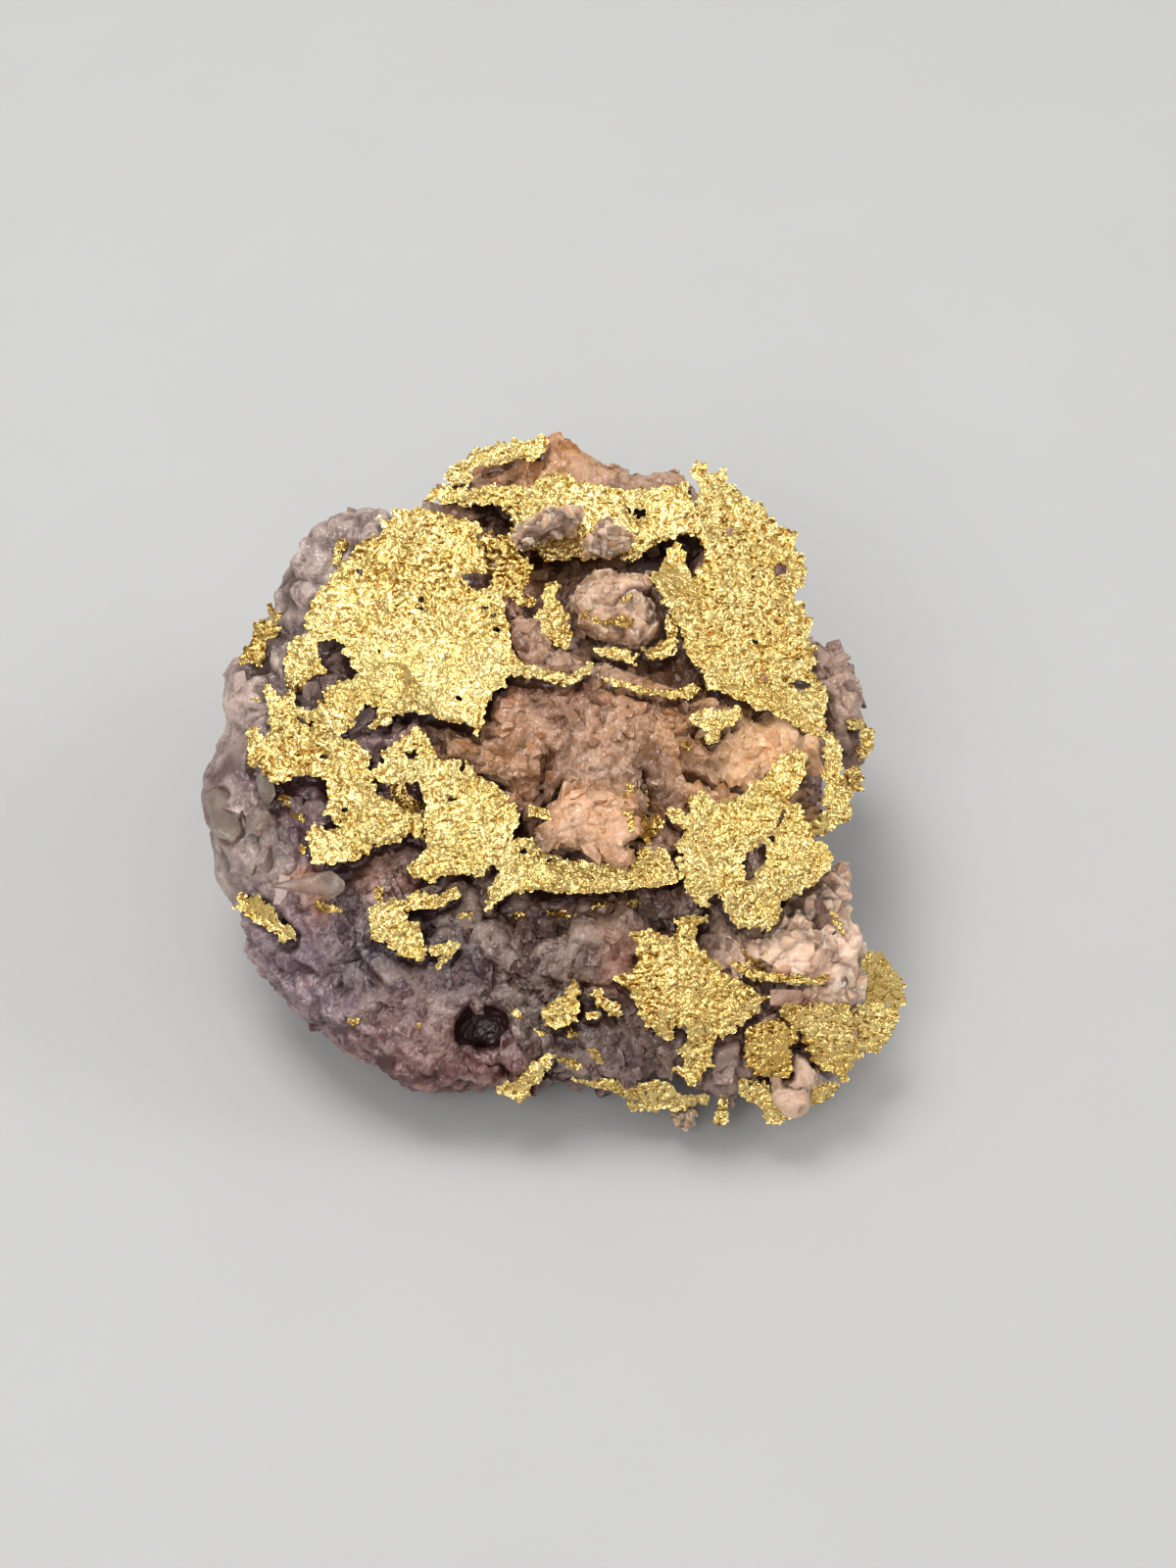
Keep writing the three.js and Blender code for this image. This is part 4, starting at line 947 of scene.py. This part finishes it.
def scales(points, way, size, seed):
    """A surface of long overlapping scales of that width that point that way: its height from about -1
    to 1."""
    along = points @ way
    squeezed = points - 0.6 * along[:, None] * way
    squeezed = squeezed + 0.4 * size * np.column_stack([noise(points, 0.8, seed + k) for k in (1, 2, 3)])
    gap, offset, _ = cells(squeezed, size, seed)
    return smoothstep(0, 0.4, gap) - 0.6 - 0.7 * (offset @ way)


def rock(node, seed):
    """The broken, uneven stone of one node. Returns its mesh."""
    slot = SLOT_OF[node]
    base, faces, normals = remeshed(*node_arrays(node), STONE_CELL[slot], 5)
    px, py, _ = to_picture(base)
    seen = normals @ TOWARDS > -0.5
    glassy = ovals(px, py, GLASSY)
    scaly = ovals(px, py, SCALY) * seen
    rim_scales = ovals(px, py, RIM_SCALES) * seen
    calm = np.maximum(0.5 * ovals(px, py, CALM), 0.9 * ovals(px, py, PIT))
    fine = 1 - np.maximum.reduce([0.8 * glassy, 0.8 * scaly, 0.75 * rim_scales, calm * seen])
    broad = 0.2 * noise(base, 2.4, seed) + 0.14 * noise(base * LAYERED, 2.0, seed + 5)
    blocks, joint = broken(base, 1.7, seed + 10)
    chunks, chink = broken(base, 0.8, seed + 15)
    chips, _ = broken(base, 0.42, seed + 20)
    height = (0.2 * blocks + 0.17 * chunks + 0.06 * chips + 0.035 * noise(base, 0.2, seed + 31)) * fine
    crack = (1 - smoothstep(0, 0.1, joint)) * smoothstep(-0.2, 0.3, noise(base, 1.5, seed + 33))
    crack = np.maximum(crack, 0.5 * (1 - smoothstep(0, 0.12, chink)) * (noise(base, 1, seed + 34) > 0.1))
    height -= 0.12 * crack * fine
    height += 0.2 * scaly * scales(base, UP, 0.62, seed + 50)
    height += 0.18 * rim_scales * scales(base, SCALE_SLOPE, 0.45, seed + 60)
    height += 0.12 * glassy * (pebbled(base, 1.3, seed + 70) - 0.5)
    relief = height
    height = (broad + relief) * STONE_ROUGHNESS[slot]
    deep, dark = hollows(base)
    height -= deep + PIT_DEPTH * ovals(px, py, PIT) * seen
    resting = base[:, 2] < 0.02
    height = np.where(resting, np.minimum(height, 0), height)
    points = under_gold(base + normals * height[:, None], base, seats=normals @ TOWARDS > 0)
    points[:, 2] = np.maximum(points[:, 2], 0)
    # The tone holds painted shade in the cracks, below the gold's lower rims, in low places and in the pit,
    # painted highlight on the ridges and high places, dark joints between broken faces, and a random shade
    tone = 1.2 * dark + 0.6 * crack * fine - 0.8 * broad - 3 * relief + 0.7 * ovals(px, py, PIT) * seen
    tone -= 0.4 * noise(base, 0.9, seed + 40) + 0.5 * noise(base, 3, seed + 41)
    tone *= 1.3 - 0.3 * ovals(px, py, BROWN)
    make_part(node + "_rock", points, faces, slot, tone, node)
    return points, faces


def cut_flat(shape, place, normal):
    """Cuts off what lies beyond a plane, and closes the cut."""
    bmesh.ops.bisect_plane(
        shape, geom=shape.verts[:] + shape.edges[:] + shape.faces[:], clear_outer=True,
        plane_co=place, plane_no=normal,
    )
    bmesh.ops.holes_fill(shape, edges=shape.edges)


def arrays_of(shape):
    """The points and faces of an edited mesh, which is freed."""
    shape.verts.index_update()
    points = np.array([tuple(vertex.co) for vertex in shape.verts])
    faces = [tuple(vertex.index for vertex in face.verts) for face in shape.faces]
    shape.free()
    return points, faces


def crystal(node, seed):
    """A crystal with flat faces and worn edges, cut from the block around a node. Returns its mesh."""
    rng = np.random.default_rng(seed)
    points, _ = node_arrays(node)
    middle = points.mean(axis=0)
    shape = bmesh.new()
    for point in points:
        shape.verts.new(point)
    hull = bmesh.ops.convex_hull(shape, input=shape.verts)
    bmesh.ops.delete(shape, geom=hull["geom_interior"], context="VERTS")
    for normal in unit(rng.normal(size=(CRYSTAL_CUTS, 3))):
        reach = ((points - middle) @ normal).max() * rng.uniform(0.78, 0.95)
        cut_flat(shape, middle + reach * normal, normal)
    bmesh.ops.dissolve_limit(shape, angle_limit=0.35, verts=shape.verts, edges=shape.edges)
    edges = shape.edges[:]
    bmesh.ops.bevel(shape, geom=edges, offset=WORN_EDGE, segments=2, profile=0.5, affect="EDGES")
    points, faces = arrays_of(shape)
    make_part(node + "_rock", points, faces, "quartz_clear", np.zeros(len(points)), node, smooth=False)
    return points, faces


rocks = {
    node: (crystal if SLOT_OF[node] == "quartz_clear" else rock)(node, STONE_SEED + 60 * number)
    for number, node in enumerate(STONE_NODES)
}
rough_stone = tree_of(*joined(rocks.values()))

# Small flecks, streaks and sprigs of gold on the quartz: a middle, half length and half width in pixels,
# and the slope of the long way in degrees
FLECKS = [
    (260, 715, 5, 3, 90), (361, 1041, 5, 3, 0), (421, 1047, 8, 4, 10), (527, 1035, 4, 3, 45),
    (553, 1054, 6, 3, 0), (583, 1055, 4, 4, 0), (608, 1078, 9, 4, 50), (582, 1084, 9, 3, 20),
    (528, 933, 10, 3, 0), (571, 933, 13, 4, 5), (622, 923, 24, 3, -2), (334, 927, 13, 4, 15),
    (293, 817, 9, 3, 25), (302, 832, 9, 3, 30), (307, 866, 6, 4, 0), (386, 914, 8, 4, 70),
    (764, 756, 5, 4, 0), (853, 939, 10, 3, 60), (592, 626, 9, 5, 0), (634, 635, 24, 4, 6),
    (600, 650, 8, 4, 30), (640, 610, 7, 3, -10), (475, 934, 8, 3, 0), (300, 700, 7, 4, 20),
    (330, 716, 7, 4, -10), (720, 700, 7, 3, 20), (744, 690, 6, 3, 0), (700, 760, 6, 4, 0),
]
SPRIGS = [
    [(344, 552), (352, 549), (356, 554), (348, 562), (349, 575), (341, 574), (342, 560)],
    [(272, 622), (276, 614), (280, 622), (287, 626), (282, 637), (275, 628)],
    [(760, 968), (768, 966), (772, 978), (780, 975), (784, 990), (772, 990), (762, 980)],
    [(640, 800), (668, 812), (676, 838), (662, 858), (644, 846), (636, 822)],
    [(700, 884), (714, 880), (722, 888), (712, 896), (702, 893)],
    [(397, 799), (409, 801), (415, 812), (425, 818), (436, 828), (430, 838), (418, 832), (404, 822)],
    [(402, 846), (412, 838), (420, 842), (416, 852), (406, 856)],
]


def fleck_outline(x, y, half_length, half_width, slope):
    """An irregular oval of the picture."""
    turn = math.radians(slope)
    around = np.linspace(0, 2 * math.pi, 11, endpoint=False)
    reach = np.random.default_rng(x * 7 + y).uniform(0.45, 1.5, len(around))
    along = half_length * reach * np.cos(around)
    aside = half_width * reach * np.sin(around)
    return np.column_stack([
        x + along * math.cos(turn) - aside * math.sin(turn),
        y + along * math.sin(turn) + aside * math.cos(turn),
    ])


def flecks():
    """All the small gold, joined in one mesh on the stone."""
    outlines = [fleck_outline(*place) for place in FLECKS] + [np.array(sprig, float) for sprig in SPRIGS]
    shapes = [
        foil([outline], rough_stone, FLECK_SEED + 50 * number, lift=0.08, darkening=0.25)
        for number, outline in enumerate(outlines)
    ]
    points, faces = joined([shape[:2] for shape in shapes])
    make_part("gold_flecks", points, faces, "gold", np.concatenate([shape[2] for shape in shapes]))


flecks()
gold_floor = lowest_near(gold_back, 2)

# Grains of quartz
#
# The stone's surface is a crust of small angular crystals and chips, each a closed convex piece set into
# the stone.

PROTOTYPES = 14
CUTS = 8


def grain_shape(rng):
    """A convex grain with flat faces, about two units across: its points and faces."""
    shape = bmesh.new()
    bmesh.ops.create_cube(shape, size=2)
    for normal in unit(rng.normal(size=(CUTS, 3))):
        cut_flat(shape, normal * rng.uniform(0.6, 1.0), normal)
    return arrays_of(shape)


class Ground:
    """The faces of a rock that grains can sit on."""

    def __init__(self, points, faces):
        corners = points[np.array([face[:4] for face in faces if len(face) > 3])]
        self.middles = corners.mean(axis=1)
        crossed = np.cross(corners[:, 2] - corners[:, 0], corners[:, 3] - corners[:, 1])
        self.areas = np.linalg.norm(crossed, axis=1) / 2 + 1e-9
        self.normals = crossed / (2 * self.areas[:, None])
        self.px, self.py, self.depth = to_picture(self.middles)
        self.facing = self.normals @ TOWARDS
        self.dark = hollows(self.middles)[1]


def grains(name, slot, ground, likely, count, sizes, shape=(1, 1, 1), wobble=2.0, proud=0.35, seed=0):
    """Joined grains set into the ground where likely is above 0. sizes are the smallest and largest
    radius in millimetres, shape the length, width and height of a grain against its radius, wobble how
    far a grain turns away from lying flat, and proud how much of it stands out."""
    rng = np.random.default_rng(seed)
    weight = ground.areas * likely * (ground.middles[:, 2] > 0.12) * (1 - 0.85 * np.abs(ground.dark))
    chosen = rng.choice(len(weight), count, p=weight / weight.sum())
    radius = sizes[0] * (sizes[1] / sizes[0]) ** rng.random(count)
    normal = ground.normals[chosen]
    height = unit(normal + wobble * rng.normal(size=(count, 3)) / 2)
    width = unit(np.cross(height, UP + wobble * rng.normal(size=(count, 3)) / 2))
    length = np.cross(width, height)
    centre = ground.middles[chosen] - normal * (radius * (1 - 2 * proud) * shape[2])[:, None]
    shade = np.clip(0.3 * rng.normal(size=count), -1, 1)
    kind = rng.integers(PROTOTYPES, size=count)
    meshes = []
    tones = []
    bases = []
    for number, (corners, faces) in enumerate(GRAIN_SHAPES):
        for one in np.nonzero(kind == number)[0]:
            turned = corners * shape * radius[one]
            turned = turned @ np.stack([length[one], width[one], height[one]])
            meshes.append((centre[one] + turned, faces))
            tones.append(np.full(len(corners), shade[one]))
            bases.append(np.tile(ground.middles[chosen[one]], (len(corners), 1)))
    points, faces = joined(meshes)
    points = under_gold(points, np.concatenate(bases))
    points[:, 2] = np.maximum(points[:, 2], 0)
    make_part(name, points, faces, slot, np.concatenate(tones), smooth=False)


shape_rng = np.random.default_rng(11)
GRAIN_SHAPES = [grain_shape(shape_rng) for _ in range(PROTOTYPES)]

mass = Ground(*rocks["quartz_mass"])
brown = ovals(mass.px, mass.py, BROWN) * (mass.facing > -0.1)
even = ovals(mass.px, mass.py, SCALY + GLASSY + RIM_SCALES + PIT) * (mass.facing > -0.8)
rest = np.clip(1 - brown - 1.3 * even, 0, 1)

grains("brown_grains", "quartz", mass, brown, 1200, (0.07, 0.26), (1.3, 1, 0.7), 1.0, 0.14, seed=21)
grains("purple_grains", "quartz", mass, rest, 1500, (0.12, 0.4), (1.5, 0.9, 0.5), 0.4, 0.1, seed=23)
for number, (node, count, sizes) in enumerate([
    ("quartz_knob", 70, (0.08, 0.2)),
    ("quartz_right_lump", 130, (0.1, 0.3)),
    ("quartz_blob_left", 70, (0.08, 0.22)),
    ("quartz_blob_right", 50, (0.08, 0.22)),
    ("quartz_chip", 30, (0.05, 0.14)),
    ("quartz_bottom_chip", 30, (0.05, 0.14)),
]):
    small = Ground(*rocks[node])
    everywhere = np.ones(len(small.areas))
    shape = (1.3, 0.9, 0.7)
    grains(node + "_grains", "quartz_pale", small, everywhere, count, sizes, shape, 0.8, 0.14, 40 + number)

# Floor, light and camera

def floor():
    half = 400.0
    points = np.array([(-half, -half, 0), (half, -half, 0), (half, half, 0), (-half, half, 0)])
    make_piece("floor", points, [(0, 1, 2, 3)], "floor", smooth=False)


def softbox(name, place, size, power, colour=(1, 1, 1)):
    """A square light at a place in millimetres, aimed at the specimen."""
    light = bpy.data.lights.new(name, "AREA")
    light.shape = "SQUARE"
    light.size = size * MM
    light.energy = power
    light.color = colour
    box = bpy.data.objects.new(name, light)
    box.location = Vector(place) * MM
    box.rotation_euler = (Vector(AIM) - Vector(place)).to_track_quat("-Z", "Y").to_euler()
    bpy.context.scene.collection.objects.link(box)


def room():
    """A pale room, brighter overhead than at the sides."""
    sky = bpy.data.worlds.new("room")
    sky.use_nodes = True
    g = Graph(sky.node_tree, "ShaderNodeOutputWorld")
    direction = g.add("ShaderNodeTexCoord", output="Generated")
    height = g.add("ShaderNodeSeparateXYZ", {}, {"Vector": direction}, "Z")
    colour = g.mix(g.step(height, 0.0, 0.95), rgb(198, 197, 197), rgb(224, 223, 222))
    g.finish(g.add("ShaderNodeBackground", {}, {"Color": colour, "Strength": 0.87}))
    bpy.context.scene.world = sky


def camera():
    lens = bpy.data.cameras.new("camera")
    lens.sensor_width = 36
    lens.lens = lens.sensor_width * DISTANCE / (PIXEL * PICTURE_SIZE[1])
    lens.clip_start = 1 * MM
    lens.clip_end = 10
    eye = bpy.data.objects.new("camera", lens)
    eye.location = Vector(EYE) * MM
    eye.rotation_euler = (math.pi / 2 - ELEVATION, 0, 0)
    bpy.context.scene.collection.objects.link(eye)
    bpy.context.scene.camera = eye


floor()
softbox("key", (-40, 50, 160), 80, 0.17)
softbox("fill", (-50, -110, 130), 90, 0.1)
softbox("side", (130, 20, 90), 50, 0.06)
room()
camera()
bpy.context.scene.view_settings.view_transform = "Standard"
